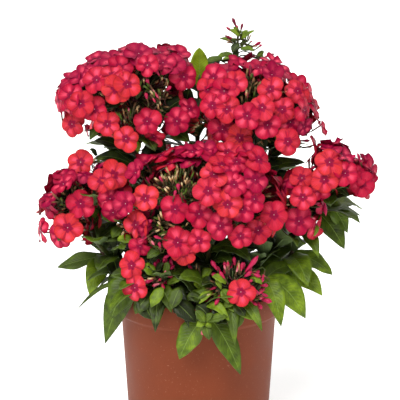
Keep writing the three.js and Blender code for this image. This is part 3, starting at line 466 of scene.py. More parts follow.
# How leaves stand along a stem, as in the frame, and the form that each blade takes.
LEAF_PAIRS = {"first": 20, "step": 50, "clear_of_head": 24, "length": 72, "half_width": 12.5}
LEAF_FORM = {"fold": 0.3, "lean": 0.8, "petiole": 1.5, "skew": 1.08, "fullness": 0.8}
# The frame turns and lifts a leaf that would run into something, and takes the first that has room.
TURNS = (0, 0.15, -0.15, 0.3, -0.3, 0.45, -0.45, 0.65, -0.65)
LIFTS = (0, 0.2, -0.2, 0.4)
# How far out the plant's leaves reach on the whole, which sets how bright each one's green is drawn:
# painted light further out and painted shade inside.
FOLIAGE_REACH = 105
SOIL_TOP = 150
# How much of the way to a stem's end its curve holds its first and its last direction.
STEM_REACH = 0.35
# No floret faces further down than this, and one that faces down at all is turned up to this share.
LOWEST_FACING = -0.72
UPTURN = 0.35
# How many places on each lobe are tried for a floret or bud, and how deep each sits in its calyx.
LOBE_PLACES = 620
SEATED = 0.45
# Florets nearer to each other than this overlap, and they stand in layers that are this far apart.
OVERLAP = 25
LAYER_GAP = 2.5
# An empty calyx that is this near to a listed floret is hidden behind it, and isn't grown.
HIDDEN = 13
# The forms of an open floret: a key for its draws, how far its petals cup and how far they curl back.
# The last five are the fuller ones, for a head's top and its deep-coloured florets.
FLORET_FORMS = (
    (1, 0.1, 0.1), (2, 0.02, 0.1), (4, -0.02, 0.16), (5, 0.06, 0.04), (8, 0.04, 0.12),
    (3, 0.22, 0.14), (6, 0.34, 0.1), (7, 0.1, 0.34), (9, 0.5, 0.3), (10, -0.12, 0.2),
)
FLAT_FORMS = 5
# Draws for the outer leaves are keyed from here, in the order of their list.
OUTER_KEY = 9000
CRUMBS = 420

# The soft lights: the way to each, its strength and its spread in degrees. The sky fills the rest.
SOFTBOXES = {"key_softbox": ((-0.4, -0.75, 1.05), 4.1, 45), "back_softbox": ((0.5, 0.8, 0.9), 1.3, 90)}
SKY_STRENGTH = 0.32
# The floor's radius in metres, past all that the camera sees of it.
FLOOR_RADIUS = 14

# The surfaces of a piece that has several, and the numbers of those after the first.
SURFACE_ORDER = ("stalk", "calyx", "leaf", "bud")
CALYX, LEAF, BUD = range(1, 4)

Leaf = namedtuple("Leaf", "root tip arch half_width facing key")


# ---- Settings ------------------------------------------------------------------------------------


def linear(code):
    """An sRGB hex colour as linear red, green and blue."""
    parts = [int(code[i : i + 2], 16) / 255 for i in (1, 3, 5)]
    return tuple(p / 12.92 if p <= 0.04045 else ((p + 0.055) / 1.055) ** 2.4 for p in parts)


def size_property(name, millimetres, description):
    return FloatProperty(
        name=name, description=description, default=millimetres * MM, unit="LENGTH", precision=4
    )


def colour_property(name, code, description):
    return FloatVectorProperty(
        name=name, description=description, default=linear(code), subtype="COLOR", min=0, max=1
    )


class PhloxPotSettings(bpy.types.PropertyGroup):
    height: size_property("Height", 162, "Height of the pot")
    rim_radius: size_property("Rim radius", 92, "Outer radius of the rim at the top")
    rim_band: size_property("Rim band", 23, "Height of the band that stands out round the rim")
    band_foot: size_property("Band foot radius", 91, "Outer radius of the band at its lower edge")
    shoulder: size_property("Shoulder", 5, "Height of the slope under the band")
    body_radius: size_property("Body radius", 84.5, "Outer radius of the body under the band")
    foot_radius: size_property("Foot radius", 76, "Outer radius at the base")
    wall: size_property("Wall", 2.6, "Wall thickness")
    base: size_property("Base", 3.5, "Thickness of the base")
    lip: size_property("Lip", 1.2, "Rounding of the lip and the foot")
    hole_radius: size_property("Drain hole radius", 5, "Radius of each drain hole")
    hole_circle: size_property("Drain hole circle", 46, "Distance of the drain holes from the middle")
    holes: IntProperty(name="Drain holes", description="Number of drain holes", default=4, min=0)
    colour: colour_property("Colour", "#703620", "Terracotta colour of the plastic")
    soil_colour: colour_property("Soil colour", "#2C211A", "Dark colour of the damp potting mix")


class PhloxFlowerSettings(bpy.types.PropertyGroup):
    radius: size_property("Floret radius", 14.6, "Radius of an open floret")
    spacing: size_property("Floret spacing", 19.5, "Least distance between the middles of two florets")
    bud_spacing: size_property("Bud spacing", 5.6, "Least distance between buds where a head is unopened")
    tube: size_property("Tube", 13, "Length of the narrow tube behind a floret")
    bud: size_property("Bud length", 14, "Length of a closed bud above its calyx")
    calyx: size_property("Calyx length", 10, "Length of a calyx")
    # Coral to crimson is partly the petals' own colour and partly painted shade: florets that face up are
    # drawn in the deeper crimson for the grazing light on a head's top.
    coral: colour_property("Coral", "#C42E2C", "Petals that face out from the plant")
    rose: colour_property("Rose", "#A80A30", "Petals between coral and crimson")
    crimson: colour_property("Crimson", "#860234", "Petals that face the sky")
    # The eye colour also paints the shadow where two petals meet.
    eye: colour_property("Eye", "#7A0430", "The dark star round a floret's throat")
    # This pale colour is partly the petals' own flush and partly a painted highlight.
    blush_and_highlight: colour_property("Blush", "#D8425C", "The pale flush along a petal's middle")
    furled: colour_property("Furled petals", "#A61243", "The furled petals of a closed bud")
    bud_foot: colour_property("Bud foot", "#E6CDB0", "The pale foot of a closed bud")
    calyx_tip: colour_property("Calyx tip", "#DCC092", "The dry tips of an empty calyx")


class PhloxLeafSettings(bpy.types.PropertyGroup):
    thickness: size_property("Thickness", 0.7, "Thickness of a leaf blade")
    ruffle: size_property("Ruffle", 1.5, "Height of the waves along a leaf's edge")
    stem_foot: size_property("Stem foot radius", 3.2, "Radius of a stem at the soil")
    stem_tip: size_property("Stem tip radius", 1.8, "Radius of a stem at its top")
    # The dark and bright greens are painted shade and painted light: one leaf green drawn for the shade
    # inside the plant and for the light outside. The young lime is a young leaf's own colour, also used as
    # painted light on the best lit leaves.
    young_and_best_lit: colour_property("Young leaf", "#7E961C", "The youngest and best lit leaves")
    lit: colour_property("Bright leaf", "#4A5E10", "Leaves that stand out in the light")
    shaded: colour_property("Dark leaf", "#1C240A", "Leaves inside the plant")
    under: colour_property("Leaf underside", "#5E7044", "The paler underside of a leaf")
    midrib: colour_property("Midrib", "#7C9444", "The midrib of a leaf")
    stem_green: colour_property("Stem", "#41601C", "Green of the stems")
    stem_flush: colour_property("Stem flush", "#4A2026", "Burgundy flush of stalks and calyces")


class PhloxStageSettings(bpy.types.PropertyGroup):
    distance: size_property("Camera distance", 2200, "Distance from the camera to its aim")
    view_width: size_property("View width", 432, "Width that the camera sees at its aim")
    aim: FloatVectorProperty(
        name="Aim",
        description="The place that the camera looks at",
        default=(0.0016, 0, 0.2575),
        subtype="TRANSLATION",
        unit="LENGTH",
    )
    elevation: FloatProperty(
        name="Elevation",
        description="How far the camera looks down",
        default=math.radians(14),
        subtype="ANGLE",
        unit="ROTATION",
    )
    floor: colour_property("Floor", "#F7F7F6", "Pale floor and backdrop")


# ---- Small helpers -------------------------------------------------------------------------------


def scatter(seed, key):
    """A number from -1 to 1 that depends only on its two keys."""
    s = math.sin(seed * 12.9898 + key * 78.233) * 43758.5453
    return (s - math.floor(s)) * 2 - 1


def mix(a, b, t):
    return a + (b - a) * t


def per(millimetres):
    """The scale of a pattern whose features are so many millimetres across."""
    return 1 / (millimetres * MM)


def direction(rise, heading):
    """The direction at a height from -1 to 1 and a heading round the plant."""
    flat = math.sqrt(1 - rise * rise)
    return Vector((flat * math.cos(heading), flat * math.sin(heading), rise))


def reaching(heading, climb, length):
    """The way to a place by its heading round the plant, its climb and how far off it is."""
    level = length * math.cos(climb)
    return Vector((level * math.cos(heading), level * math.sin(heading), length * math.sin(climb)))


def frame_along(way, across):
    """Three axes at right angles, the third along `way` and the first as near `across` as it can be."""
    third = way.normalized()
    first = (across - third * across.dot(third)).normalized()
    return first, third.cross(first), third


def standing(at, facing, spin=0.0, size=1.0):
    """The matrix that puts a shape's +Z along `facing` at a place, turned by `spin`."""
    first, second, third = frame_along(facing, UP if abs(facing.z) < 0.9 else Vector((1, 0, 0)))
    turned_first = first * math.cos(spin) + second * math.sin(spin)
    turned_second = third.cross(turned_first)
    matrix = Matrix((turned_first, turned_second, third)).transposed() * size
    return Matrix.Translation(at) @ matrix.to_4x4()


def stretched(at, facing, spin, width, length):
    """The matrix for a shape in millimetres, stretched to a width and a length along +Z."""
    return standing(at * MM, facing, spin, MM) @ Matrix.Diagonal((width, width, length, 1))


def bezier(points, t):
    a, b, c, d = points
    s = 1 - t
    return a * s**3 + b * (3 * s * s * t) + c * (3 * s * t * t) + d * t**3


def bend(start, end, leave, arrive, steps):
    """A smooth line that leaves its start one way and arrives at its end another."""
    reach = (end - start).length
    points = (start, start + leave * reach * 0.4, end - arrive * reach * 0.4, end)
    return [bezier(points, i / steps) for i in range(steps + 1)]


def clear_selection():
    if bpy.context.object and bpy.context.object.mode != "OBJECT":
        bpy.ops.object.mode_set(mode="OBJECT")
    bpy.ops.object.select_all(action="DESELECT")


def put_in_order(mesh):
    """Lists a mesh's faces and their corners in one fixed order, so that each run gives the same."""
    points = [tuple(vertex.co) for vertex in mesh.vertices]
    faces = [tuple(face.vertices) for face in mesh.polygons]
    starts = [face.index(min(face)) for face in faces]
    mesh.clear_geometry()
    mesh.from_pydata(points, [], sorted(face[i:] + face[:i] for face, i in zip(faces, starts)))


def turned(name, profile, sides):
    """A round piece drawn up ring by ring through (radius, height) pairs, closed at both ends."""
    clear_selection()
    radius, height = profile[0]
    bpy.ops.mesh.primitive_circle_add(
        vertices=sides, radius=radius, fill_type="NGON", location=(0, 0, height)
    )
    piece = bpy.context.object
    piece.name = name
    bpy.ops.object.transform_apply(location=True, rotation=False, scale=False)
    bpy.ops.object.mode_set(mode="EDIT")
    bpy.ops.mesh.select_mode(type="FACE")
    bpy.ops.mesh.select_all(action="SELECT")
    for (near, low), (far, high) in zip(profile, profile[1:]):
        bpy.ops.mesh.extrude_region_move(TRANSFORM_OT_translate={"value": (0, 0, high - low)})
        scale = far / near
        bpy.ops.transform.resize(value=(scale, scale, 1), center_override=(0, 0, high))
    bpy.ops.mesh.select_all(action="SELECT")
    bpy.ops.mesh.normals_make_consistent(inside=False)
    bpy.ops.object.mode_set(mode="OBJECT")
    put_in_order(piece.data)
    return piece


class Shape:
    """A shape that is modelled once: its points, faces and a value for each point."""

    def __init__(self, mesh, plane=None, tint=None):
        self.points = np.empty((len(mesh.vertices), 3))
        mesh.vertices.foreach_get("co", self.points.ravel())
        self.faces = [tuple(face.vertices) for face in mesh.polygons]
        self.plane = np.zeros((len(self.points), 2)) if plane is None else np.array(plane)
        self.tint = np.zeros(len(self.points)) if tint is None else np.array(tint)
        for piece in [item for item in bpy.data.objects if item.data == mesh]:
            bpy.data.objects.remove(piece)
        bpy.data.meshes.remove(mesh)


class Growth:
    """Gathers copies of shapes into the mesh of one piece."""

    def __init__(self):
        self.points = []
        self.faces = []
        self.plane = []
        self.tint = []
        self.surfaces = []
        self.count = 0

    def add(self, points, faces, plane, tint, surface=0):
        self.points.append(points)
        self.faces.extend(tuple(i + self.count for i in face) for face in faces)
        self.plane.append(plane)
        self.tint.append(tint)
        self.surfaces.extend([surface] * len(faces))
        self.count += len(points)

    def copy(self, shape, matrix, tint, rise=0, surface=0):
        """A copy of the shape at a place. Its tint goes up by `rise` from its foot to its tip."""
        turn = np.array(matrix.to_3x3())
        points = shape.points @ turn.T + np.array(matrix.translation)
        self.add(points, shape.faces, shape.plane, shape.tint * rise + tint, surface)

    def tube(self, line, radius, sides, tint):
        """A round stalk along points in millimetres, closed at both ends.

        Its radius, in millimetres, and its tint are one number each or one for each point.
        """
        radii = np.broadcast_to(radius, len(line)).tolist()
        points = []
        plane = []
        across = Vector((0.31, 0.87, 0.2))
        for i, at in enumerate(line):
            way = line[min(i + 1, len(line) - 1)] - line[max(i - 1, 0)]
            first, second, _ = frame_along(way, across)
            across = first
            for k in range(sides):
                angle = k / sides * TURN
                spot = at + (first * math.cos(angle) + second * math.sin(angle)) * radii[i]
                points.append(tuple(spot * MM))
                plane.append((i / (len(line) - 1), k / sides))
        faces = []
        for i in range(len(line) - 1):
            for k in range(sides):
                a, b = i * sides + k, i * sides + (k + 1) % sides
                faces.append((a, b, b + sides, a + sides))
        faces.append(tuple(range(sides - 1, -1, -1)))
        faces.append(tuple((len(line) - 1) * sides + k for k in range(sides)))
        tints = np.repeat(np.broadcast_to(tint, len(line)), sides)
        self.add(np.array(points), faces, np.array(plane), tints)

    def finish(self, name, surfaces, node, slot, smooth=True):
        """The gathered copies as one piece of the plant that stands for a node of the frame."""
        if not self.faces:
            raise RuntimeError(f"nothing grew for {name}")
        mesh = bpy.data.meshes.new(name)
        mesh.from_pydata(np.concatenate(self.points).tolist(), [], self.faces)
        corners = np.empty(len(mesh.loops), int)
        mesh.loops.foreach_get("vertex_index", corners)
        layer = mesh.uv_layers.new(name="plane")
        layer.uv.foreach_set("vector", np.concatenate(self.plane)[corners].astype(np.float32).ravel())
        tint = mesh.attributes.new("tint", "FLOAT", "POINT")
        tint.data.foreach_set("value", np.concatenate(self.tint).astype(np.float32))
        mesh.polygons.foreach_set("use_smooth", [smooth] * len(mesh.polygons))
        piece = bpy.data.objects.new(name, mesh)
        bpy.context.scene.collection.objects.link(piece)
        dress(piece, surfaces, node)
        mesh.polygons.foreach_set("material_index", self.surfaces)
        mesh.update()


def dress(piece, surfaces, node):
    """Gives a piece its surfaces and lets it ride on the plant in place of a node of the frame."""
    for surface in surfaces:
        piece.data.materials.append(material_for(surface))
    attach(piece, "root")
    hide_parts(node)


# ---- Materials -----------------------------------------------------------------------------------

SMOOTH = {"interpolation_type": "SMOOTHSTEP"}
# Where a node mixes colours, input 0 is the share of the second, 6 and 7 are the two, and the result
# is output 2.


def add_node(tree, kind, inputs=(), out=0, stops=(), **settings):
    """Adds a node with its settings and gives one output.

    An input is a value or a socket to link. `stops` are the places and colours of a colour ramp.
    """
    added = tree.nodes.new("ShaderNode" + kind)
    for key, value in settings.items():
        setattr(added, key, value)
    for key, value in inputs.items() if isinstance(inputs, dict) else enumerate(inputs):
        socket = added.inputs[key]
        if isinstance(value, bpy.types.NodeSocket):
            tree.links.new(value, socket)
        else:
            socket.default_value = (*value[:3], 1.0) if socket.type == "RGBA" else value
    for i, (position, colour) in enumerate(stops):
        elements = added.color_ramp.elements
        if i == 0:
            elements.remove(elements[1])
        element = elements.new(position) if i else elements[0]
        element.position = position
        element.color = (*colour[:3], 1.0)
    return added.outputs[out]


def petal_velvet(node, flowers):
    """Phlox petals: living tissue with a velvet bloom, fine veins and a dark star at the throat."""
    # Petal cells are domed, which scatters light in a soft sheen and leaves no sharp gloss.
    # The map's first axis runs out along a petal's middle and its second across it, in floret radii.
    plane = node("UVMap", uv_map="plane")
    reach = node("VectorMath", (plane,), "Value", operation="LENGTH")
    sides = node("SeparateXYZ", (plane,)).node.outputs
    angle = node("Math", (sides[1], sides[0]), operation="ARCTAN2")
    off = node("Math", (angle,), operation="ABSOLUTE")
    heart = node("MapRange", (off, 0.0, 0.55, 1.0, 0.0), **SMOOTH)
    place = node("TexCoord", out="Object")
    # Veins fan out from the throat, about 0.8 mm apart at a petal's middle.
    fan = node("Math", (angle, 12.0), operation="MULTIPLY")
    fan_place = node("CombineXYZ", (fan, reach, 0.0))
    drift = node("VectorMath", (place, (60, 60, 60), fan_place), operation="MULTIPLY_ADD")
    veins = node("TexNoise", {"Vector": drift, "Scale": 2.2, "Detail": 3.0, "Roughness": 0.6})
    # Coral, rose or crimson goes by floret, and wanders a little in patches of 11 mm. The deeper crimson
    # of florets that face up is painted shade for the grazing light on a head's top.
    tint = node("Attribute", out="Fac", attribute_name="tint")
    mottle = node("TexNoise", {"Vector": place, "Scale": per(11), "Detail": 2.0})
    wander = node("Math", (mottle, 0.4, tint), operation="MULTIPLY_ADD")
    level = node("Math", (wander, 0.2), operation="SUBTRACT")
    shades = ((0.0, flowers.coral), (0.5, flowers.rose), (1.0, flowers.crimson))
    body = node("ValToRGB", (level,), stops=shades)
    streak = node("MapRange", (veins, 0.35, 0.65, 0.72, 1.12))
    streaked = node("VectorMath", {0: body, "Scale": streak}, operation="SCALE")
    # A pale flush lies along a petal's middle, partly the petal's own colour and partly a painted
    # highlight; it is much paler in some patches of 21 mm than in others, a painted sheen there.
    flush_near = node("MapRange", (reach, 0.12, 0.36, 0.0, 1.0), **SMOOTH)
    flush_far = node("MapRange", (reach, 0.5, 0.95, 1.3, 0.0), **SMOOTH)
    flush = node("Math", (flush_near, flush_far), operation="MULTIPLY")
    flush_mid = node("Math", (flush, heart), operation="MULTIPLY")
    patches = node("TexNoise", {"Vector": place, "Scale": per(21), "Detail": 1.0})
    paleness_and_sheen = node("MapRange", (patches, 0.4, 0.62, 0.35, 1.9))
    flush_and_sheen_patch = node("Math", (flush_mid, paleness_and_sheen), operation="MULTIPLY")
    flush_and_sheen = node("Math", (flush_and_sheen_patch, veins), operation="MULTIPLY", use_clamp=True)
    blushed_and_highlighted = node("Mix", {0: flush_and_sheen, 6: streaked, 7: flowers.blush_and_highlight}, 2, data_type="RGBA")
    # A petal's rounded edge is drawn a little deeper in colour, partly its own colour and partly painted
    # shadow where it lies over the petal behind, which parts it from that one.
    spread = node("Math", (off, 2.0), operation="POWER")
    outline = node("Math", (spread, 0.38, reach), operation="MULTIPLY_ADD")
    rim_tone_and_shadow = node("MapRange", (outline, 0.9, 1.0, 1.0, 0.7), **SMOOTH)
    rim_shadowed = node("VectorMath", {0: blushed_and_highlighted, "Scale": rim_tone_and_shadow}, operation="SCALE")
    # A dark line is painted where two petals meet: painted shadow of their overlap.
    seam_reach = node("MapRange", (reach, 0.2, 1.0, 0.75, 0.25), **SMOOTH)
    seam_gap = node("MapRange", (off, 0.56, 0.64, 0.0, 1.0))
    seam_shadow = node("Math", (seam_reach, seam_gap), operation="MULTIPLY")
    seam_shadowed = node("Mix", {0: seam_shadow, 6: rim_shadowed, 7: flowers.eye}, 2, data_type="RGBA")
    # The star round the throat reaches further along each petal's middle, and frays along the veins.
    star = node("Math", (heart, 0.1, 0.13), operation="MULTIPLY_ADD")
    ragged = node("Math", (veins, 0.26, star), operation="MULTIPLY_ADD")
    inside = node("Math", (ragged, reach), operation="SUBTRACT")
    eye = node("MapRange", (inside, -0.05, 0.05, 0.0, 0.92), **SMOOTH)
    eyed = node("Mix", {0: eye, 6: seam_shadowed, 7: flowers.eye}, 2, data_type="RGBA")
    dot = node("MapRange", (reach, 0.015, 0.042, 0.6, 0.0))
    dotted = node("Mix", {0: dot, 6: eyed, 7: linear("#E8D2CC")}, 2, data_type="RGBA")
    return {
        "Base Color": dotted,
        "Roughness": 0.42,
        "IOR": 1.4,
        "Specular IOR Level": 0.12,
        "Sheen Weight": 0.02,
        "Sheen Roughness": 0.4,
        "Sheen Tint": linear("#FF6A90"),
        "Normal": node("Bump", {"Height": veins, "Strength": 0.6, "Distance": 0.7 * MM}),
    }


def bud_skin(node, flowers):
    """Closed buds and floret tubes: waxy petal tissue, pale at the foot and magenta above."""
    # Furled petals show as fine twisted lines, here 3.8 mm apart so that they show, with a soft gloss.
    along = node("Attribute", out="Fac", attribute_name="tint")
    place = node("TexCoord", out="Object")
    mottle = node("TexNoise", {"Vector": place, "Scale": per(3.8), "Detail": 3.0})
    level = node("Math", (mottle, 0.3, along), operation="MULTIPLY_ADD")
    share = node("Math", (level, 1 / 1.3), operation="MULTIPLY")
    lower = ((0.0, flowers.bud_foot), (0.23, linear("#C86A78")), (0.38, linear("#A00C36")))
    upper = ((0.65, flowers.furled), (0.77, linear("#9E0E3A")), (0.85, linear("#6E0A2C")))
    skin = node("ValToRGB", (share,), stops=lower + upper)
    return {
        "Base Color": skin,
        "Roughness": 0.42,
        "Specular IOR Level": 0.25,
        "Normal": node("Bump", {"Height": mottle, "Strength": 0.3, "Distance": 0.3 * MM}),
    }


def calyx_husk(node, flowers):
    """Calyces: thin ribbed husks, green and burgundy at the foot and straw-coloured at the tips."""
    # The husk dries from its tips, so the gloss is low and the colour runs to straw.
    along = node("Attribute", out="Fac", attribute_name="tint")
    place = node("TexCoord", out="Object")
    mottle = node("TexNoise", {"Vector": place, "Scale": per(7), "Detail": 3.0})
    level = node("Math", (mottle, 0.5, along), operation="MULTIPLY_ADD")
    shifted = node("Math", (level, 0.25), operation="SUBTRACT")
    dried = ((0.0, linear("#2E2C12")), (0.35, linear("#5A3A26")), (0.7, linear("#9C7046")))
    husk = node("ValToRGB", (shifted,), stops=(*dried, (1.0, flowers.calyx_tip)))
    return {
        "Base Color": husk,
        "Roughness": 0.62,
        "Specular IOR Level": 0.2,
        "Normal": node("Bump", {"Height": mottle, "Strength": 0.4, "Distance": 0.3 * MM}),
    }


def stalk_skin(node, leaves):
    """Stems and stalks: smooth green skin with fine lengthwise ribs and a burgundy flush."""
    # The skin is waxy, so it has a soft satin gloss; the flush comes with light and with height.
    flush = node("Attribute", out="Fac", attribute_name="tint")
    place = node("TexCoord", out="Object")
    drawn_out = node("Mapping", {0: place, "Scale": (1.0, 1.0, 0.12)})
    streaks = node("TexNoise", {"Vector": drawn_out, "Scale": per(2.4), "Detail": 3.0})
    patches = node("TexNoise", {"Vector": place, "Scale": per(18), "Detail": 2.0})
    level = node("Math", (patches, 0.7, flush), operation="MULTIPLY_ADD")
    amount = node("MapRange", (level, 0.35, 1.2, 0.0, 1.0))
    skin = node("Mix", {0: amount, 6: leaves.stem_green, 7: leaves.stem_flush}, 2, data_type="RGBA")
    shade = node("MapRange", (streaks, 0.3, 0.7, 0.75, 1.2))
    ribbed = node("VectorMath", {0: skin, "Scale": shade}, operation="SCALE")
    return {
        "Base Color": ribbed,
        "Roughness": 0.45,
        "Specular IOR Level": 0.25,
        "Normal": node("Bump", {"Height": streaks, "Strength": 0.4, "Distance": 0.3 * MM}),
    }


def leaf_blade(node, leaves):
    """Phlox leaves: a waxy satin blade with a pale midrib and sunken veins that arch to the tip."""
    # The upper skin is waxy and catches broad soft highlights; the veins are pressed into it.
    # The map's second axis runs across the upper face from 0 to 1 and the underside from 2 to 3.
    sides = node("SeparateXYZ", (node("UVMap", uv_map="plane"),)).node.outputs
    lower = node("Math", (sides[1], 1.5), operation="GREATER_THAN")
    folded = node("Math", (lower, -2.0, sides[1]), operation="MULTIPLY_ADD")
    centred = node("Math", (folded, 0.5), operation="SUBTRACT")
    out = node("Math", (centred,), operation="ABSOLUTE")
    arch = node("Math", (out, 1.25), operation="POWER")
    # Blotches about 9 mm across, and the cell texture about 1 mm, as coarse as it needs to show.
    place = node("TexCoord", out="Object")
    blotch = node("TexNoise", {"Vector": place, "Scale": per(9), "Detail": 3.0})
    cells = node("TexNoise", {"Vector": place, "Scale": per(1.1), "Detail": 2.0})
    # Side veins leave the midrib about 4 mm apart, reach forward by a sixth of the blade and wander.
    start = node("Math", (arch, -0.45, sides[0]), operation="MULTIPLY_ADD")
    drift = node("Math", (blotch, 0.05, start), operation="MULTIPLY_ADD")
    count = node("Math", (drift, 15.0), operation="MULTIPLY")
    away = node("Math", (count, 0.5), operation="PINGPONG")
    vein = node("MapRange", (away, 0.0, 0.25, 1.0, 0.0), **SMOOTH)
    fade = node("MapRange", (out, 0.25, 0.46, 1.0, 0.0))
    vein_faded = node("Math", (vein, fade), operation="MULTIPLY")
    rib = node("MapRange", (out, 0.008, 0.028, 1.0, 0.0), **SMOOTH)
    # A leaf's tint picks its green: the dark green paints the shade inside the plant, the bright green
    # paints the light on outer leaves, and the lime is a young leaf's own colour, also used for the best
    # lit leaves.
    tint = node("Attribute", out="Fac", attribute_name="tint")
    level = node("Math", (blotch, 1.0, tint), operation="MULTIPLY_ADD")
    bright = node("Math", (level, 0.54), operation="SUBTRACT", use_clamp=True)
    greens = ((0.0, leaves.shaded), (0.55, leaves.lit), (1.0, leaves.young_and_best_lit))
    upper = node("ValToRGB", (bright,), stops=greens)
    face = node("Mix", {0: lower, 6: upper, 7: leaves.under}, 2, data_type="RGBA")
    shade = node("MapRange", (vein_faded, 0.0, 1.0, 1.04, 0.86))
    grain = node("MapRange", (cells, 0.3, 0.7, 0.92, 1.08))
    shaded = node("Math", (shade, grain), operation="MULTIPLY")
    veined = node("VectorMath", {0: face, "Scale": shaded}, operation="SCALE")
    rib_amount = node("Math", (rib, 0.5), operation="MULTIPLY")
    ribbed = node("Mix", {0: rib_amount, 6: veined, 7: leaves.midrib}, 2, data_type="RGBA")
    sunk = node("Math", (vein_faded, rib), operation="MAXIMUM")
    depth = node("Math", (cells, 0.12, sunk), operation="MULTIPLY_ADD")
    return {
        "Base Color": ribbed,
        "Roughness": node("MapRange", (blotch, 0.3, 0.7, 0.36, 0.5)),
        "Specular IOR Level": 0.22,
        "Normal": node("Bump", {"Height": depth, "Strength": 0.4, "Distance": 0.7 * MM}, invert=True),
    }


def pot_plastic(node, pot):
    """Injection-moulded polypropylene, coloured like fired clay, with a fine matt texture."""
    # The mould's etched surface scatters the light; handling leaves dull patches and soil dust.
    # Flow marks about 45 mm across, mould grain about 0.7 mm, dust specks about 2.4 mm.
    place = node("TexCoord", out="Object")
    flow = node("TexNoise", {"Vector": place, "Scale": per(45), "Detail": 3.0})
    grain = node("TexNoise", {"Vector": place, "Scale": per(0.66), "Detail": 2.0})
    specks = node("TexNoise", {"Vector": place, "Scale": per(2.4), "Detail": 4.0, "Roughness": 0.7})
    shade = node("MapRange", (flow, 0.3, 0.7, 0.92, 1.07))
    fine = node("MapRange", (grain, 0.3, 0.7, 0.95, 1.05))
    both = node("Math", (shade, fine), operation="MULTIPLY")
    body = node("VectorMath", {0: tuple(pot.colour), "Scale": both}, operation="SCALE")
    dust = node("MapRange", (specks, 0.62, 0.74, 0.0, 0.35))
    return {
        "Base Color": node("Mix", {0: dust, 6: body, 7: linear("#C08A6C")}, 2, data_type="RGBA"),
        "Roughness": node("MapRange", (flow, 0.3, 0.7, 0.45, 0.6)),
        "Specular IOR Level": 0.08,
        "Normal": node("Bump", {"Height": grain, "Strength": 0.25, "Distance": 0.2 * MM}),
    }


def potting_mix(node, pot):
    """Peat potting mix: dark, damp and crumbly, with paler fibres."""
    # Crumbs about 4 mm across, with fibres about 1.7 mm thick; damp peat has hardly any gloss.
    place = node("TexCoord", out="Object")
    crumbs = node("TexVoronoi", {"Vector": place, "Scale": per(3.8), "Randomness": 1.0})
    fibres = node("TexNoise", {"Vector": place, "Scale": per(1.7), "Detail": 5.0})
    # Each crumb is drawn paler at its middle and darker towards its edges: painted shade in the gaps
    # between crumbs.
    shade = node("MapRange", (crumbs, 0.0, 0.8, 1.5, 0.4))
    body = node("VectorMath", {0: tuple(pot.soil_colour), "Scale": shade}, operation="SCALE")
    pale = node("MapRange", (fibres, 0.6, 0.75, 0.0, 0.5))
    height = node("Math", (fibres, crumbs), operation="SUBTRACT")
    return {
        "Base Color": node("Mix", {0: pale, 6: body, 7: linear("#6A4E38")}, 2, data_type="RGBA"),
        "Roughness": 0.92,
        "Normal": node("Bump", {"Height": height, "Strength": 0.9, "Distance": 1.5 * MM}),
    }


def studio_board(node, stage):
    """White acrylic light table: matt, with no pattern that shows."""
    # The board is lit faintly from below, which keeps its shadows light. Its tooth is 3.3 mm across.
    tooth = node("TexNoise", {"Vector": node("TexCoord", out="Object"), "Scale": per(3.3)})
    return {
        "Base Color": stage.floor,
        "Roughness": 0.9,
        "Emission Color": (1.0, 1.0, 1.0),
        "Emission Strength": 0.42,
        "Normal": node("Bump", {"Height": tooth, "Strength": 0.05, "Distance": 0.1 * MM}),
    }


SURFACES = {
    "petal": ("phlox petal velvet", petal_velvet, "phlox_flowers"),
    "bud": ("phlox bud skin", bud_skin, "phlox_flowers"),
    "calyx": ("phlox calyx husk", calyx_husk, "phlox_flowers"),
    "stalk": ("phlox stem skin", stalk_skin, "phlox_leaves"),
    "leaf": ("phlox leaf blade", leaf_blade, "phlox_leaves"),
    "pot": ("terracotta-coloured moulded polypropylene", pot_plastic, "phlox_pot"),
    "soil": ("peat potting mix", potting_mix, "phlox_pot"),
    "board": ("white acrylic light table", studio_board, "phlox_stage"),
}


def material_for(key):
    """The material of a surface, made the first time that it is asked for."""
    name, surface, settings = SURFACES[key]
    if name not in bpy.data.materials:
        material = bpy.data.materials.new(name)
        material.use_nodes = True
        tree = material.node_tree
        tree.nodes.clear()
        output = tree.nodes.new("ShaderNodeOutputMaterial")
        node = partial(add_node, tree)
        shader = node("BsdfPrincipled", surface(node, getattr(bpy.context.scene, settings)))
        tree.links.new(shader, output.inputs[0])
    return bpy.data.materials[name]


# ---- Stems and their leaves ----------------------------------------------------------------------


def head_seat(name):
    """The place inside a head where its stem ends, as in the frame."""
    middle, radii = HEADS[name]["lobes"][0]
    return Vector(middle) - UP * (radii[2] * 0.5 + 0.3)


class StemLine:
    """A stem's curve, measured along its length as the frame measures it."""

    DIVISIONS = 200

    def __init__(self, name):
        stem = STEMS[name]
        x, y = stem["foot"]
        foot = Vector((x, y, SOIL_TOP))
        end = Vector(stem["tip"]) if "tip" in stem else head_seat(name)
        way = Vector(stem.get("way", UP)).normalized()
        reach = (end - foot).length
        rise = stem.get("rise", reach * STEM_REACH)
        first = foot + Vector((x * 0.2, y * 0.2, rise))
        second = Vector(stem["by"]) if "by" in stem else end - way * (reach * STEM_REACH)
        self.points = (foot, first, second, end)
        spots = [bezier(self.points, i / self.DIVISIONS) for i in range(self.DIVISIONS + 1)]
        steps = [(b - a).length for a, b in zip(spots, spots[1:])]
        self.lengths = np.concatenate([[0], np.cumsum(steps)])
        self.length = float(self.lengths[-1])

    def at(self, share):
        """The place at a share of the stem's length."""
        t = np.interp(share * self.length, self.lengths, np.linspace(0, 1, self.DIVISIONS + 1))
        return bezier(self.points, float(t))


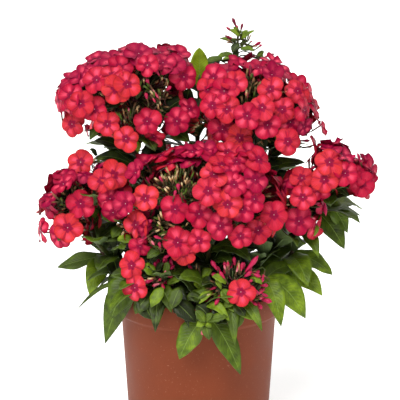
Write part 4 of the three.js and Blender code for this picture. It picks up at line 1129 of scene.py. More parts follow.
def planned_leaves(name):
    """The leaves of a stem as the frame plans them: its pairs and then its own outer leaves."""
    stem = STEMS[name]
    seed = list(STEMS).index(name) + 51
    line = StemLine(name)
    end = line.length - stem.get("bare", 2 if "tip" in stem else LEAF_PAIRS["clear_of_head"])
    leaves = []
    pair = 0
    while LEAF_PAIRS["first"] + pair * LEAF_PAIRS["step"] <= end:
        share = (LEAF_PAIRS["first"] + pair * LEAF_PAIRS["step"]) / line.length
        root = line.at(share)
        outward = math.atan2(root.y, root.x)
        for side in range(2):
            key = seed * 100 + pair * 2 + side
            heading = stem["turn"] + pair * TURN / 4 + side * TURN / 2 + 0.25 * scatter(key, 1)
            spread = (1 + math.cos(heading - outward)) / 2
            size = mix(0.6, 1, spread) * mix(1.05, 0.75, share) * (1 + 0.1 * scatter(key, 2))
            climb = mix(0.7, 0.1, spread) + 0.2 * scatter(key, 3)
            length = LEAF_PAIRS["length"] * size
            tip = root + reaching(heading, climb, length)
            half_width = LEAF_PAIRS["half_width"] * size
            leaves.append(Leaf(root, tip, length * 0.2, half_width, reaching(outward, 0, 1), key))
        pair += 1
    for order, (stem_name, start, tip, arch, half_width, _) in enumerate(OUTER_LEAVES):
        if stem_name == name:
            leaves.append(Leaf(line.at(start), Vector(tip), arch, half_width, FRONT, OUTER_KEY + order))
    return leaves


def inner_leaves(name):
    """Smaller leaves between the pairs, six to a step, which shade the inside of the plant."""
    line = StemLine(name)
    end = line.length - STEMS[name].get("bare", 0) - 16
    leaves = []
    along = LEAF_PAIRS["first"] + LEAF_PAIRS["step"] / 6
    while along <= end:
        root = line.at(along / line.length)
        key = (len(leaves) + 1) * 100 + list(STEMS).index(name)
        heading = len(leaves) * GOLDEN_ANGLE + 3 * scatter(key, 1)
        tip = root + reaching(heading, 0.35 + 0.45 * scatter(key, 3), 48 + 9 * scatter(key, 2))
        arch, half_width = 7 + 3 * scatter(key, 4), 11 + 2 * scatter(key, 5)
        leaves.append(Leaf(root, tip, arch, half_width, reaching(heading, 0, 1), key))
        along += LEAF_PAIRS["step"] / 6
    return leaves


def leaves_in_frame(name):
    """The planned leaves with the bend that each has in the frame, without those it has no room for."""
    mesh = frame["nodes"]["stem_" + name].data
    spots = np.empty((len(mesh.vertices), 3))
    mesh.vertices.foreach_get("co", spots.ravel())
    spots /= MM
    grown = []
    for leaf in planned_leaves(name):
        for turn, lift in product(TURNS, LIFTS):
            reach = leaf.tip - leaf.root
            reach.rotate(Matrix.Rotation(turn, 3, "Z"))
            reach.z += lift * math.hypot(reach.x, reach.y)
            bent = leaf.root + reach
            if np.min(np.abs(spots - np.array(bent)).sum(axis=1)) < 0.2:
                grown.append(leaf._replace(tip=bent))
                break
    return grown


def outwardness(leaf):
    """How far out a leaf's middle lies, from 0 inside the plant to 1 at its outline."""
    middle = (leaf.root + leaf.tip) / 2
    return min(1.0, math.hypot(middle.x, middle.y) / FOLIAGE_REACH)


def model_leaf(rows, columns):
    """A flat blade in its own measure: x along it from 0 to 1, y across from -1 to 1, z through it."""
    clear_selection()
    bpy.ops.mesh.primitive_grid_add(x_subdivisions=rows, y_subdivisions=columns, size=2)
    blade = bpy.context.object
    for vertex in blade.data.vertices:
        vertex.co.x = (vertex.co.x + 1) / 2
    wall = blade.modifiers.new("wall", "SOLIDIFY")
    wall.thickness = 1
    wall.offset = 0
    bpy.ops.object.modifier_apply(modifier="wall")
    spots = [vertex.co for vertex in blade.data.vertices]
    return Shape(blade.data, [(p.x, (p.y + 1) / 2 + (2 if p.z < 0 else 0)) for p in spots])


def grow_leaf(growth, blade, leaf, settings, tint, surface=0):
    """Bends a copy of the blade along a leaf's midrib, with its fold, waves and drooping edge."""
    root, tip, arch, half_width, facing, key = leaf
    over = (root + tip) / 2 + UP * (arch * 2)
    upper = UP + facing * LEAF_FORM["lean"]
    ruffle = settings.ruffle / MM
    waves = 2.2 + scatter(key, 5)
    points = np.empty_like(blade.points)
    rows = {}
    for i, (along, out, through) in enumerate(blade.points):
        row = rows.get(round(along, 4))
        if row is None:
            s = 1 - along
            at = root * (s * s) + over * (2 * s * along) + tip * (along * along)
            tangent = ((over - root) * (2 * s) + (tip - over) * (2 * along)).normalized()
            across = upper.cross(tangent).normalized()
            swell = math.sin(math.pi * min(max(along, 0), 1) ** LEAF_FORM["skew"])
            width = half_width * max(swell, 0) ** LEAF_FORM["fullness"] + LEAF_FORM["petiole"] * s
            row = (at, across, tangent.cross(across), max(width, 0.3))
            rows[round(along, 4)] = row
        at, across, normal, width = row
        fold = LEAF_FORM["fold"] * (1 - 0.5 * abs(out))
        wave = ruffle * out * out * math.sin(waves * TURN * along + (1.6 if out > 0 else 0) + key)
        lift = width * abs(out) * math.sin(fold) + wave * min(1, width / 8)
        thick = settings.thickness / MM * through * (1.2 - 0.5 * abs(out))
        spot = at + across * (width * out * math.cos(fold)) + normal * (lift + thick)
        points[i] = tuple(spot * MM)
    growth.add(points, blade.faces, blade.plane, np.full(len(points), tint), surface)


# ---- Places on the front view --------------------------------------------------------------------


def view_axes(stage):
    """The ways towards the camera and up its picture."""
    tilt = stage.elevation
    return Vector((0, -math.cos(tilt), math.sin(tilt))), Vector((0, math.sin(tilt), math.cos(tilt)))


def view_line(across, above, stage):
    """The camera's place and the way to a place on the front view."""
    towards, over = view_axes(stage)
    aim = Vector(stage.aim) / MM
    camera = aim + towards * (stage.distance / MM)
    spot = aim + Vector((across, 0, 0)) + over * above
    return camera, (spot - camera).normalized()


def leaning(right, up, way, stage):
    """A direction that leans right and up on the front view and otherwise faces the viewer."""
    _, over = view_axes(stage)
    towards = math.sqrt(max(0.05, 1 - right * right - up * up))
    return (Vector((right, 0, 0)) + over * up - way * towards).normalized()


def cluster(group, meet, stage, seed):
    """The empty calyces of each listed cluster: where each stands, how it leans, and how dry it is.

    `meet` gives the place where a view line comes upon the plant.
    """
    for order, (across, above, spread, many, right, up, dry) in enumerate(group.get("husks", ())):
        for k in range(math.ceil(many * 0.5)):
            key = seed * 100 + order * 40 + k
            reach = spread * math.sqrt((k + 0.5) / (many * 0.5))
            x, y = reach * math.cos(k * GOLDEN_ANGLE + key), -reach * math.sin(k * GOLDEN_ANGLE + key)
            start, way = view_line(across + x, above + y, stage)
            at = meet(start, way)
            lean = (right + 0.35 * scatter(key, 1) + 0.028 * x, up + 0.3 * scatter(key, 2) + 0.019 * y)
            longest = max(1, math.hypot(*lean) / 0.95)
            facing = leaning(lean[0] / longest, lean[1] / longest, way, stage)
            yield at + way * (3 * scatter(key, 3)), facing, dry, key


def placed(item, meet, stage, deeper=0):
    """A listed bud or leaflet: its foot, its tip and its last two values."""
    across, above, tip_across, tip_above, width, tone = item
    start, way = view_line(across, above, stage)
    foot = meet(start, way) + way * deeper
    start, way = view_line(tip_across, tip_above, stage)
    tip = start + way * ((foot - start).dot(way) - 2)
    return foot, tip, width, tone


# ---- Flower heads --------------------------------------------------------------------------------


def in_lobe(lobe, way, share=1):
    """The place in a lobe one way from its middle, at a share of the way out to its surface."""
    middle, radii = lobe
    return Vector([middle[i] + way[i] * radii[i] * share for i in range(3)])


def lobe_reach(lobe, at):
    """How far out a place lies from a lobe's middle: 1 on its surface."""
    middle, radii = lobe
    return math.sqrt(sum(((at[i] - middle[i]) / radii[i]) ** 2 for i in range(3)))


def lobe_normal(lobe, at):
    middle, radii = lobe
    return Vector([(at[i] - middle[i]) / radii[i] ** 2 for i in range(3)]).normalized()


def on_lobes(lobes, start, way):
    """Where a line first meets a head's lobes, or passes nearest to one, and which lobe that is."""
    best = None
    for lobe in lobes:
        middle, radii = lobe
        p = [(start[i] - middle[i]) / radii[i] for i in range(3)]
        d = [way[i] / radii[i] for i in range(3)]
        a = sum(x * x for x in d)
        b = sum(x * y for x, y in zip(p, d))
        c = sum(x * x for x in p) - 1
        inside = b * b - a * c
        along = (-b - math.sqrt(inside)) / a if inside > 0 else -b / a
        miss = 0 if inside > 0 else -inside / a
        if best is None or (miss, along) < best[:2]:
            best = (miss, along, lobe)
    return start + way * best[1], best[2]


def clear_of(items, at, gap):
    """Whether a place keeps a gap to every floret or bud that is there."""
    return all((item["at"] - at).length > gap for item in items)


def listed_florets(head, stage):
    """The florets that are listed one by one. `nearer` is the way that the front ones are layered."""
    florets = []
    for at, facing in head.get("single", ()):
        facing = Vector(facing).normalized()
        florets.append({"at": Vector(at), "facing": facing, "tint": 0.2, "size": 1.0})
    for across, above, right, up, tint, size in head.get("in_view", ()):
        start, way = view_line(across, above, stage)
        at, (centre, radii) = on_lobes(head["lobes"], start, way)
        facing = leaning(right, up, way, stage)
        before = (Vector(centre) - start).dot(way) + facing.dot(way) * radii[1] * 0.8
        at = start + way * min((at - start).length, before)
        florets.append({"at": at, "facing": facing, "tint": tint, "size": size, "nearer": -way})
    return florets


def head_places(name, flowers, stage):
    """Where the florets and buds of a head stand, and which way they face."""
    head = HEADS[name]
    lobes = head["lobes"]
    seed = list(HEADS).index(name) + 1
    middle = Vector(lobes[0][0])
    viewer, _ = view_axes(stage)
    buds_only = head.get("buds_only")
    florets = listed_florets(head, stage)
    buds = []
    for lobe, k in product(lobes, range(LOBE_PLACES)):
        at = in_lobe(lobe, direction(1 - 2 * (k + 0.5) / LOBE_PLACES, k * GOLDEN_ANGLE + seed))
        facing = lobe_normal(lobe, at)
        if facing.z < LOWEST_FACING:
            continue
        if facing.z < 0:
            facing.z *= UPTURN
            facing.normalize()
        if any(other is not lobe and lobe_reach(other, at) < 1.02 for other in lobes):
            continue
        unopened = buds_only or any(
            (at - middle).angle(Vector(towards)) < reach for towards, reach in head.get("open", ())
        )
        if unopened or ("in_view" in head and facing.dot(viewer) > 0.3):
            if unopened and facing.dot(viewer) > 0.2 and "husks" in head:
                continue
            space = flowers.bud_spacing / MM * (1.6 if buds_only else 1 if unopened else 1.35)
            if clear_of(buds, at, space) and clear_of(florets, at, 12 if unopened else 7):
                buds.append({"at": at, "facing": facing, "unopened": unopened})
        elif clear_of(florets, at, flowers.spacing / MM):
            key = seed * 1000 + k
            sway = Vector((scatter(key, 21), scatter(key, 22), scatter(key, 23))) * 0.35
            # A floret that faces up is given deeper crimson: painted shade for the grazing light on a
            # head's top.
            tint = 0.2 + 0.75 * max(0, facing.z) ** 1.3 + 0.2 * scatter(key, 3)
            facing = (facing + sway).normalized()
            florets.append({"at": at, "facing": facing, "tint": tint, "size": 1 + 0.07 * scatter(key, 1)})
    for i, item in enumerate(florets):
        item["key"] = seed * 1000 + i
        near = [f["layer"] for f in florets[:i] if (f["at"] - item["at"]).length < OVERLAP]
        item["layer"] = min(max(near, default=-1) + 1 if "nearer" in item else len(near) % 3, 5)
    for i, item in enumerate(buds):
        item["key"] = seed * 1000 + 500 + i
    return florets, buds


def model_floret(flowers, seed, cup, curl):
    """An open floret that faces +Z: five broad petals, each over the next, round a small throat."""
    radius = flowers.radius / MM
    shape = bmesh.new()
    plane = []
    for k in range(5):
        turn = Matrix.Rotation(k * TURN / 5 + 0.1 * scatter(seed, k), 3, "Z")
        size = radius * (1.02 + 0.09 * scatter(seed, k + 10))
        tilt = 0.26 * scatter(seed, k + 20)
        twist = 0.1 + 0.1 * scatter(seed, k + 50)
        wave = 2.5 + 0.8 * scatter(seed, k + 30)
        phase = 3 * scatter(seed, k + 40)
        petal = bmesh.ops.create_grid(shape, x_segments=2, y_segments=7, size=1)["verts"]
        for vertex in petal:
            along, side = (vertex.co.x + 1) / 2, vertex.co.y
            broad = 0.1 + 0.5 * math.sin(min(along / 0.7, 1) * math.pi / 2)
            straight = Vector((0.1 + 0.8 * along, broad * side))
            bow = 1.3 * side
            rounded = Vector((0.54 + 0.46 * math.cos(bow) ** 0.9, 0.52 * math.sin(bow)))
            out, across = straight.lerp(rounded, along**3)
            height = cup * along**2 - curl * along**4 + tilt * along - 0.05 * (1 - along) ** 2
            height += twist * side * along - 0.035 * (1 - abs(side)) * along
            height += 0.1 * math.sin(wave * side + phase) * along**2
            plane.append((out, across))
            vertex.co = turn @ Vector((out * size, across * size, height * size))
    throat = Matrix.Translation((0, 0, -0.07 * radius))
    disc = bmesh.ops.create_circle(
        shape, cap_ends=True, cap_tris=True, segments=6, radius=0.18 * radius, matrix=throat
    )
    plane.extend((0.18 if vertex.co.xy.length > 0.01 else 0.0, 0.0) for vertex in disc["verts"])
    mesh = bpy.data.meshes.new("floret")
    shape.to_mesh(mesh)
    shape.free()
    return Shape(mesh, plane)


def model_spindle(name, profile, sides, twist=0.0):
    """A turned bud or tube along +Z. Its tint runs from 0 at the foot to 1 at the tip."""
    piece = turned(name, profile, sides)
    low, high = profile[0][1], max(height for _, height in profile)
    shares = [(vertex.co.z - low) / (high - low) for vertex in piece.data.vertices]
    for vertex, share in zip(piece.data.vertices, shares):
        vertex.co.rotate(Matrix.Rotation(twist * share, 3, "Z"))
    return Shape(piece.data, None, shares)


def model_calyx(length):
    """A slender husk along +Z whose rim is drawn out into five pointed teeth."""
    rim, tip = length * 0.75, length * 1.15
    piece = turned("calyx", [(0.5, 0), (0.85, length * 0.3), (0.95, rim), (0.4, length * 0.6)], 10)
    points = [vertex for vertex in piece.data.vertices if abs(vertex.co.z - rim) < 0.01]
    points.sort(key=lambda vertex: math.atan2(vertex.co.y, vertex.co.x))
    for tooth in points[::2]:
        tooth.co = Vector((tooth.co.x * 0.9, tooth.co.y * 0.9, tip))
    return Shape(piece.data, None, [vertex.co.z / tip for vertex in piece.data.vertices])


class HeadShapes:
    """The shapes that every head is grown from, in millimetres. The bud is one high and one across."""

    def __init__(self, flowers):
        tube = flowers.tube / MM
        bud = [(0.16, 0), (0.3, 0.2), (0.36, 0.4), (0.5, 0.62), (0.42, 0.8), (0.04, 1)]
        self.blade = model_leaf(6, 4)
        self.florets = [model_floret(flowers, *form) for form in FLORET_FORMS]
        self.tube = model_spindle("tube", [(0.8, -tube), (0.9, -tube * 0.5), (1.3, -1.6)], 5)
        self.bud = model_spindle("bud", bud, 7, 1.2)
        self.calyx = model_calyx(flowers.calyx / MM)


class FlowerHead:
    """One flower head as it grows: its open florets, its buds, and the branches that carry them."""

    def __init__(self, name, shapes, scene):
        self.name = name
        self.head = HEADS[name]
        self.shapes = shapes
        self.flowers = scene.phlox_flowers
        self.leaves = scene.phlox_leaves
        self.stage = scene.phlox_stage
        self.calyx = self.flowers.calyx / MM
        self.petals = Growth()
        self.buds = Growth()
        self.branches = Growth()
        self.knots = []

    def grow(self):
        florets, buds = head_places(self.name, self.flowers, self.stage)
        self.grow_branches()
        for floret in florets:
            self.grow_floret(floret)
        for bud in buds:
            self.grow_bud(bud)
        self.grow_listed([floret["at"] for floret in florets if "nearer" in floret])
        node = "head_" + self.name
        self.petals.finish("florets_" + self.name, ("petal",), node, "petals")
        self.buds.finish("buds_" + self.name, ("bud",), node, "petals")
        self.branches.finish("branches_" + self.name, SURFACE_ORDER[:3], node, "petals")

    def grow_branches(self):
        """Forks from the stem's top into every lobe, with two leaflets at each knot."""
        seat = head_seat(self.name)
        for index, lobe in enumerate(self.head["lobes"]):
            centre, radii = lobe
            hub = Vector(centre) - UP * radii[2] * 0.35
            if index:
                self.branches.tube(bend(seat, hub, UP, (hub - seat).normalized(), 6), 1.5, 6, 0.7)
            forks = max(5, round(sum(radii) / 11))
            for k in range(forks):
                out = direction(1 - 1.5 * (k + 0.5) / forks, k * GOLDEN_ANGLE + index)
                knot = in_lobe(lobe, out, 0.42)
                line = bend(hub if index else seat, knot, UP, out, 5)
                self.branches.tube(line, np.linspace(1.4, 0.9, len(line)), 5, 0.8)
                self.knots.append(knot)
        for k, knot in enumerate(self.knots):
            out = (knot - Vector(self.head["lobes"][0][0])).normalized()
            for n in range(2):
                stray = Vector((scatter(k, n + 31), scatter(k, n + 41), scatter(k, n + 51) * 0.6))
                tip = knot + (stray * 0.8 + out).normalized() * (13 + 4 * scatter(k, n + 61))
                leaf = Leaf(knot - out * 8, tip, 2, 3.4 + scatter(k, n + 71), FRONT, 500 * n + k)
                # These leaflets inside a head are drawn in the dark green: painted shade.
                self.grow_leaflet(leaf, 0.1 * scatter(k, n) - 0.1)

    def grow_leaflet(self, leaf, tint):
        grow_leaf(self.branches, self.shapes.blade, leaf, self.leaves, tint, LEAF)

    def grow_stalk(self, foot, facing, key):
        """The thin stalk that carries a calyx, from the nearest knot."""
        knot = min(self.knots, key=lambda place: (place - foot).length)
        line = bend(knot, foot, (foot - knot).normalized(), facing, 3)
        self.branches.tube(line, 0.7, 4, 0.6 + 0.3 * scatter(key, 10))

    def grow_calyx(self, foot, facing, key, tint, rise):
        stand = standing(foot * MM, facing, 0, MM * (1 + 0.15 * scatter(key, 5)))
        self.branches.copy(self.shapes.calyx, stand, tint, rise, CALYX)
        self.grow_stalk(foot, facing, key)

    def grow_floret(self, item):
        """An open floret with its tube and calyx. Layers part it from its neighbours."""
        key, facing, size = item["key"], item["facing"], item["size"]
        at = item["at"] + item.get("nearer", facing) * ((item["layer"] - 1.2) * LAYER_GAP)
        forms = FLAT_FORMS if facing.z < 0.6 and item["tint"] < 0.7 else len(FLORET_FORMS)
        form = int((scatter(key, 6) + 1) / 2 * forms) % forms
        stand = standing(at * MM, facing, scatter(key, 2) * math.pi, size * MM)
        self.petals.copy(self.shapes.florets[form], stand, min(max(item["tint"], 0), 1))
        self.buds.copy(self.shapes.tube, stand, 0.75, 0.3)
        foot = at - facing * (self.flowers.tube / MM + self.calyx * SEATED) * size
        self.grow_calyx(foot, facing, key, 0, 0.6)

    def grow_bud(self, item):
        """A calyx that grew by rule, with a closed bud in it or the rest of one that has dropped."""
        key, facing = item["key"], item["facing"]
        at = item["at"] + facing * ((-4 if item["unopened"] else -10) + 3 * scatter(key, 4))
        foot = at - facing * (8 + 2 * scatter(key, 7))
        least = -0.7 if self.head.get("buds_only") else 0.4
        closed = item["unopened"] and scatter(key, 8) > least
        if closed:
            tall = self.flowers.bud / MM * (0.75 + 0.3 * scatter(key, 9))
            stand = stretched(foot + facing * self.calyx * SEATED, facing, key, 4.4, tall)
            self.buds.copy(self.shapes.bud, stand, 0.45 + 0.15 * scatter(key, 13), 0.3)
        self.grow_calyx(foot, facing, key, -0.3 if closed else -0.15 + 0.2 * scatter(key, 12), 1)

    def meet(self, start, way):
        """The place just inside the head where a view line comes upon it."""
        return on_lobes(self.head["lobes"], start, way)[0] + way * 3

    def grow_listed(self, fronts):
        """The empty calyces, closed buds and leaflets that are listed one by one."""
        seed = list(HEADS).index(self.name)
        for at, facing, dry, key in cluster(self.head, self.meet, self.stage, seed):
            if any((front - at).length < HIDDEN for front in fronts):
                continue
            foot = at - facing * self.calyx * 0.7
            stand = stretched(foot, facing, key, 1.0 + 0.2 * scatter(key, 4), 1.15 + 0.4 * scatter(key, 5))
            green = scatter(key, 14) > 0.4
            tint, rise = (0.1, 0.5) if green else (0.3 * dry - 0.55 + 0.4 * scatter(key, 6), 1.35)
            self.branches.copy(self.shapes.calyx, stand, tint, rise, LEAF if green else CALYX)
            self.grow_stalk(foot, facing, key)
        for k, item in enumerate(self.head.get("closed", ())):
            foot, tip, width, tone = placed(item, self.meet, self.stage)
            facing = (tip - foot).normalized()
            stand = stretched(foot, facing, k, width * 0.88, (tip - foot).length)
            self.buds.copy(self.shapes.bud, stand, tone, 0.3)
            foot = foot - facing * self.calyx * SEATED
            self.branches.copy(self.shapes.calyx, stretched(foot, facing, k, 1, 0.9), 0.05, 0.6, CALYX)
            self.grow_stalk(foot, facing, k)
        for k, item in enumerate(self.head.get("bracts", ())):
            # A leaflet with a low brightness is set deeper in and drawn in the dark green: painted shade.
            shaded = item[-1] < 0.3
            foot, tip, half_width, tone = placed(item, self.meet, self.stage, 22 if shaded else 2)
            self.grow_leaflet(Leaf(foot, tip, 2.5, half_width, FRONT, 600 + k), tone)


def grow_spray(stalk, line, spray, shapes, scene):
    """A shoot of small parts: side arms up the stem with closed buds, calyces and leaflets."""
    stage = scene.phlox_stage
    seated = scene.phlox_flowers.calyx / MM * 0.5
    turns = count()

    def meet(start, way):
        """The place on a view line at the spray's depth, a little before or behind it."""
        depth = spray["depth"] + spray["sway"] * scatter(next(turns), 91)
        return start + way * ((depth - start.y) / way.y)

    def arm(foot):
        """A side arm from the nearest place up the stem."""
        root = min((line.at(1 - k / 60) for k in range(12)), key=lambda place: (place - foot).length)
        away = foot - root
        path = bend(root, foot, (away + UP * away.length).normalized(), away.normalized(), 4)
        stalk.tube(path, 0.7, 5, 0.45)

    def calyx(seat, facing, key, tint, rise, surface):
        foot = seat - facing * seated
        stalk.copy(shapes.calyx, stretched(foot, facing, key, 0.9, 0.8), tint, rise, surface)
        arm(foot)

    for item in spray.get("arms", ()):
        _, tip, _, _ = placed((*item, 0, 0), meet, stage)
        arm(tip)
    for k, item in enumerate(spray["closed"]):
        foot, tip, width, tone = placed(item, meet, stage)
        facing = (tip - foot).normalized()
        stalk.copy(shapes.bud, stretched(foot, facing, k, width, (tip - foot).length), tone, 0.3, BUD)
        calyx(foot, facing, k, 0.3, 0.5, LEAF)
    for at, facing, dry, key in cluster(spray, meet, stage, 90):
        calyx(at, facing, key, dry + 0.1, 0.6, CALYX if scatter(key, 8) > 0.3 else LEAF)
    for k, item in enumerate(spray["bracts"]):
        foot, tip, half_width, tone = placed(item, meet, stage)
        leaf = Leaf(foot, tip, 1.5, half_width, FRONT, 7000 + k)
        grow_leaf(stalk, shapes.blade, leaf, scene.phlox_leaves, tone, LEAF)


# ---- Operators -----------------------------------------------------------------------------------


class PHLOX_OT_pot(bpy.types.Operator):
    """Turns the pot, with its rim band, lip and drain holes"""

    bl_idname = "phlox.pot"
    bl_label = "Flower Pot"

    def execute(self, context):
        pot = context.scene.phlox_pot
        band = pot.height - pot.rim_band
        soft = pot.lip * 0.5
        inside = mix(pot.foot_radius, pot.body_radius, pot.base / band) - pot.wall
        hollow = 1 * MM
        profile = [
            (pot.foot_radius - 6 * MM, hollow),
            (pot.foot_radius - 5 * MM, 0),
            (pot.foot_radius - pot.lip, 0),
            (pot.foot_radius - soft * 0.6, soft * 0.6),
            (pot.foot_radius, pot.lip),
            (pot.body_radius - soft * 0.1, band - pot.shoulder - soft),
            (pot.body_radius + soft * 0.8, band - pot.shoulder + soft * 0.8),
            (pot.band_foot - soft, band - soft * 0.7),
            (pot.band_foot, band + soft),
            (pot.rim_radius, pot.height - pot.lip),
            (pot.rim_radius - soft * 0.6, pot.height - soft * 0.6),
            (pot.rim_radius - pot.lip, pot.height),
            (pot.rim_radius - pot.wall + soft, pot.height),
            (pot.rim_radius - pot.wall, pot.height - soft),
            (pot.band_foot - pot.wall, band + pot.wall),
            (pot.body_radius - pot.wall, band),
            (inside, pot.base),
            (pot.foot_radius * 0.3, pot.base),
        ]
        body = turned("flower_pot", profile, 96)
        for i in range(pot.holes):
            angle = i / pot.holes * TURN
            clear_selection()
            bpy.ops.mesh.primitive_cylinder_add(
                vertices=24,
                radius=pot.hole_radius,
                depth=pot.base * 8,
                location=(pot.hole_circle * math.cos(angle), pot.hole_circle * math.sin(angle), 0),
            )
            drill = context.object
            cut = body.modifiers.new("drain", "BOOLEAN")
            cut.operation = "DIFFERENCE"
            cut.object = drill
            clear_selection()
            context.view_layer.objects.active = body
            bpy.ops.object.modifier_apply(modifier="drain")
            bpy.data.objects.remove(drill)
        clear_selection()
        body.select_set(True)
        context.view_layer.objects.active = body
        bpy.ops.object.shade_smooth_by_angle(angle=math.radians(32))
        dress(body, ("pot",), "pot")
        return {"FINISHED"}


class PHLOX_OT_soil(bpy.types.Operator):
    """Fills the pot with potting mix and strews crumbs over it"""

    bl_idname = "phlox.soil"
    bl_label = "Potting Mix"

    def execute(self, context):
        pot = context.scene.phlox_pot
        band = pot.height - pot.rim_band
        gap, dip, top = 0.6 * MM, 4 * MM, SOIL_TOP * MM
        low = mix(pot.foot_radius, pot.body_radius, pot.base / band) - pot.wall - gap
        edge = pot.band_foot - pot.wall - gap
        profile = [
            (low, pot.base + gap / 2),
            (pot.body_radius - pot.wall - gap, band),
            (edge, band + pot.wall + gap),
            (edge, top - dip),
        ]
        shares = (0.97, 0.9, 0.8, 0.7, 0.6, 0.5, 0.4, 0.3, 0.2, 0.1, 0.03)
        profile += [(edge * share, top - dip * share**2) for share in shares]
        soil = turned("potting_mix", profile, 72)
        for vertex in soil.data.vertices:
            if vertex.co.z > top - dip - 0.5 * MM:
                bump = noise.fractal(vertex.co / (9 * MM), 0.8, 2.0, 4)
                vertex.co.z += bump * 2.2 * MM
        soil.data.polygons.foreach_set("use_smooth", [True] * len(soil.data.polygons))
        dress(soil, ("soil",), "soil")
        clear_selection()
        bpy.ops.mesh.primitive_ico_sphere_add(subdivisions=1, radius=1)
        crumb = Shape(context.object.data)
        crumbs = Growth()
        for k in range(CRUMBS):
            reach = edge * math.sqrt((k + 0.5) / CRUMBS) * 0.97
            at = reaching(k * GOLDEN_ANGLE, 0, reach) + UP * (top - dip * (reach / edge) ** 2)
            size = (1.6 + 1.1 * scatter(k, 1)) * MM
            way = Vector((scatter(k, 2), scatter(k, 3), 1)).normalized()
            lump = standing(at, way, scatter(k, 4) * 3, size) @ Matrix.Diagonal((1.4, 1, 0.7, 1))
            crumbs.copy(crumb, lump, 0.5)
        crumbs.finish("soil_crumbs", ("soil",), "soil", "potting_soil", smooth=False)
        return {"FINISHED"}


class PHLOX_OT_stems(bpy.types.Operator):
    """Grows the stems, with a swelling where each pair of leaves stands"""

    bl_idname = "phlox.stems"
    bl_label = "Stems"

    def execute(self, context):
        leaves = context.scene.phlox_leaves
        shapes = HeadShapes(context.scene.phlox_flowers)
        for name, stem in STEMS.items():
            line = StemLine(name)
            steps = max(12, round(line.length / 5))
            foot, up = line.at(0), line.at(0.02)
            buried = foot + (foot - up).normalized() * 18
            path = [buried, *(line.at(i / steps) for i in range(steps + 1))]
            radii = []
            flush = []
            for i in range(len(path)):
                share = max(0, i - 1) / steps
                along = share * line.length
                bare = along > line.length - stem.get("bare", 0)
                past = along - LEAF_PAIRS["first"]
                near = min(past % LEAF_PAIRS["step"], -past % LEAF_PAIRS["step"])
                swell = 0 if bare else 0.5 * math.exp(-((near / 3.5) ** 2))
                slim = 0.55 if bare else 0
                radii.append(mix(leaves.stem_foot, leaves.stem_tip, share) / MM + swell - slim)
                flush.append(0.05 + 0.5 * share + 0.5 * swell)
            if "tip" in stem:
                radii[-1] *= 0.3
            stalk = Growth()
            stalk.tube(path, radii, 10, flush)
            for spray in SPRAYS.get(name, ()):
                grow_spray(stalk, line, spray, shapes, context.scene)
            stalk.finish("stalk_" + name, SURFACE_ORDER, "stem_" + name, "foliage")
        return {"FINISHED"}


class PHLOX_OT_leaves(bpy.types.Operator):
    """Grows every leaf of the frame as a folded, veined blade"""

    bl_idname = "phlox.leaves"
    bl_label = "Leaves"

    def execute(self, context):
        settings = context.scene.phlox_leaves
        blade, small = model_leaf(12, 8), model_leaf(8, 4)
        for name in STEMS:
            growth = Growth()
            for leaf in leaves_in_frame(name):
                # A leaf further out is drawn in a brighter green and one inside the plant in a darker one:
                # painted light and painted shade.
                tint = 0.05 + 0.45 * outwardness(leaf)
                if leaf.key >= OUTER_KEY:
                    tint = OUTER_LEAVES[leaf.key - OUTER_KEY][-1]
                grow_leaf(growth, blade, leaf, settings, tint + 0.12 * scatter(leaf.key, 11))
            for leaf in inner_leaves(name):
                # The inner leaves are drawn darker still: painted shade inside the plant.
                tint = 0.02 + 0.4 * outwardness(leaf) ** 3 + 0.15 * scatter(leaf.key, 11)
                grow_leaf(growth, small, leaf, settings, tint)
            growth.finish("leaves_" + name, ("leaf",), "stem_" + name, "foliage")
        return {"FINISHED"}


class PHLOX_OT_heads(bpy.types.Operator):
    """Grows the flower heads: florets, buds, calyces and branches"""

    bl_idname = "phlox.heads"
    bl_label = "Flower Heads"

    def execute(self, context):
        shapes = HeadShapes(context.scene.phlox_flowers)
        for name in HEADS:
            FlowerHead(name, shapes, context.scene).grow()
        return {"FINISHED"}


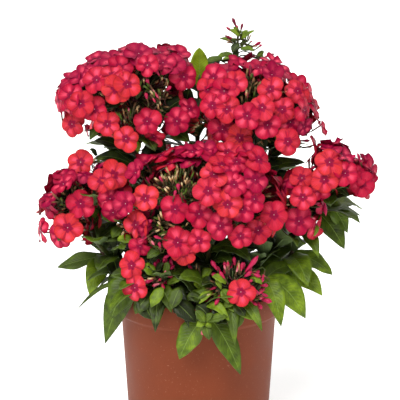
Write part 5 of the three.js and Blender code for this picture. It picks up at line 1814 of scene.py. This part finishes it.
class PHLOX_OT_stage(bpy.types.Operator):
    """Sets the camera, the soft lights and the pale floor"""

    bl_idname = "phlox.stage"
    bl_label = "Stage"

    def execute(self, context):
        scene = context.scene
        stage = scene.phlox_stage
        clear_selection()
        bpy.ops.mesh.primitive_circle_add(
            vertices=96, radius=FLOOR_RADIUS, fill_type="NGON", location=(0, 0, -0.5 * MM)
        )
        floor = context.object
        floor.name = "studio_floor"
        floor.data.materials.append(material_for("board"))
        data = bpy.data.cameras.new("camera")
        data.lens = data.sensor_width * stage.distance / stage.view_width
        camera = bpy.data.objects.new("camera", data)
        scene.collection.objects.link(camera)
        towards, _ = view_axes(stage)
        camera.location = Vector(stage.aim) + towards * stage.distance
        camera.rotation_euler = (math.pi / 2 - stage.elevation, 0, 0)
        scene.camera = camera
        for name, (way, strength, spread) in SOFTBOXES.items():
            light = bpy.data.lights.new(name, "SUN")
            light.energy = strength
            light.angle = math.radians(spread)
            lamp = bpy.data.objects.new(name, light)
            scene.collection.objects.link(lamp)
            lamp.location = Vector(way) * 2
            lamp.rotation_euler = Vector(way).to_track_quat("Z", "Y").to_euler()
        world = bpy.data.worlds.new("soft_white")
        world.use_nodes = True
        sky = world.node_tree.nodes["Background"]
        sky.inputs["Color"].default_value = (1, 1, 1, 1)
        sky.inputs["Strength"].default_value = SKY_STRENGTH
        scene.world = world
        scene.view_settings.view_transform = "Standard"
        return {"FINISHED"}


class PHLOX_PT_panel(bpy.types.Panel):
    """Lists the pieces of the plant and its stage"""

    bl_idname = "PHLOX_PT_panel"
    bl_label = "Potted Phlox"
    bl_space_type = "VIEW_3D"
    bl_region_type = "UI"
    bl_category = "Phlox"

    def draw(self, context):
        scene = context.scene
        groups = (
            (scene.phlox_pot, ("phlox.pot", "phlox.soil")),
            (scene.phlox_leaves, ("phlox.stems", "phlox.leaves")),
            (scene.phlox_flowers, ("phlox.heads",)),
            (scene.phlox_stage, ("phlox.stage",)),
        )
        for settings, operators in groups:
            box = self.layout.box()
            for key in settings.bl_rna.properties.keys():
                if key not in ("rna_type", "name"):
                    box.prop(settings, key)
            for operator in operators:
                box.operator(operator)


SETTINGS = {
    "phlox_pot": PhloxPotSettings,
    "phlox_flowers": PhloxFlowerSettings,
    "phlox_leaves": PhloxLeafSettings,
    "phlox_stage": PhloxStageSettings,
}
CLASSES = (
    *SETTINGS.values(),
    PHLOX_OT_pot,
    PHLOX_OT_soil,
    PHLOX_OT_stems,
    PHLOX_OT_leaves,
    PHLOX_OT_heads,
    PHLOX_OT_stage,
    PHLOX_PT_panel,
)


def register():
    for cls in CLASSES:
        bpy.utils.register_class(cls)
    for name, group in SETTINGS.items():
        setattr(bpy.types.Scene, name, PointerProperty(type=group))


def unregister():
    for name in SETTINGS:
        delattr(bpy.types.Scene, name)
    for cls in reversed(CLASSES):
        bpy.utils.unregister_class(cls)


def main():
    register()
    bpy.ops.phlox.pot()
    bpy.ops.phlox.soil()
    bpy.ops.phlox.stems()
    bpy.ops.phlox.leaves()
    bpy.ops.phlox.heads()
    bpy.ops.phlox.stage()


if __name__ == "__main__":
    main()
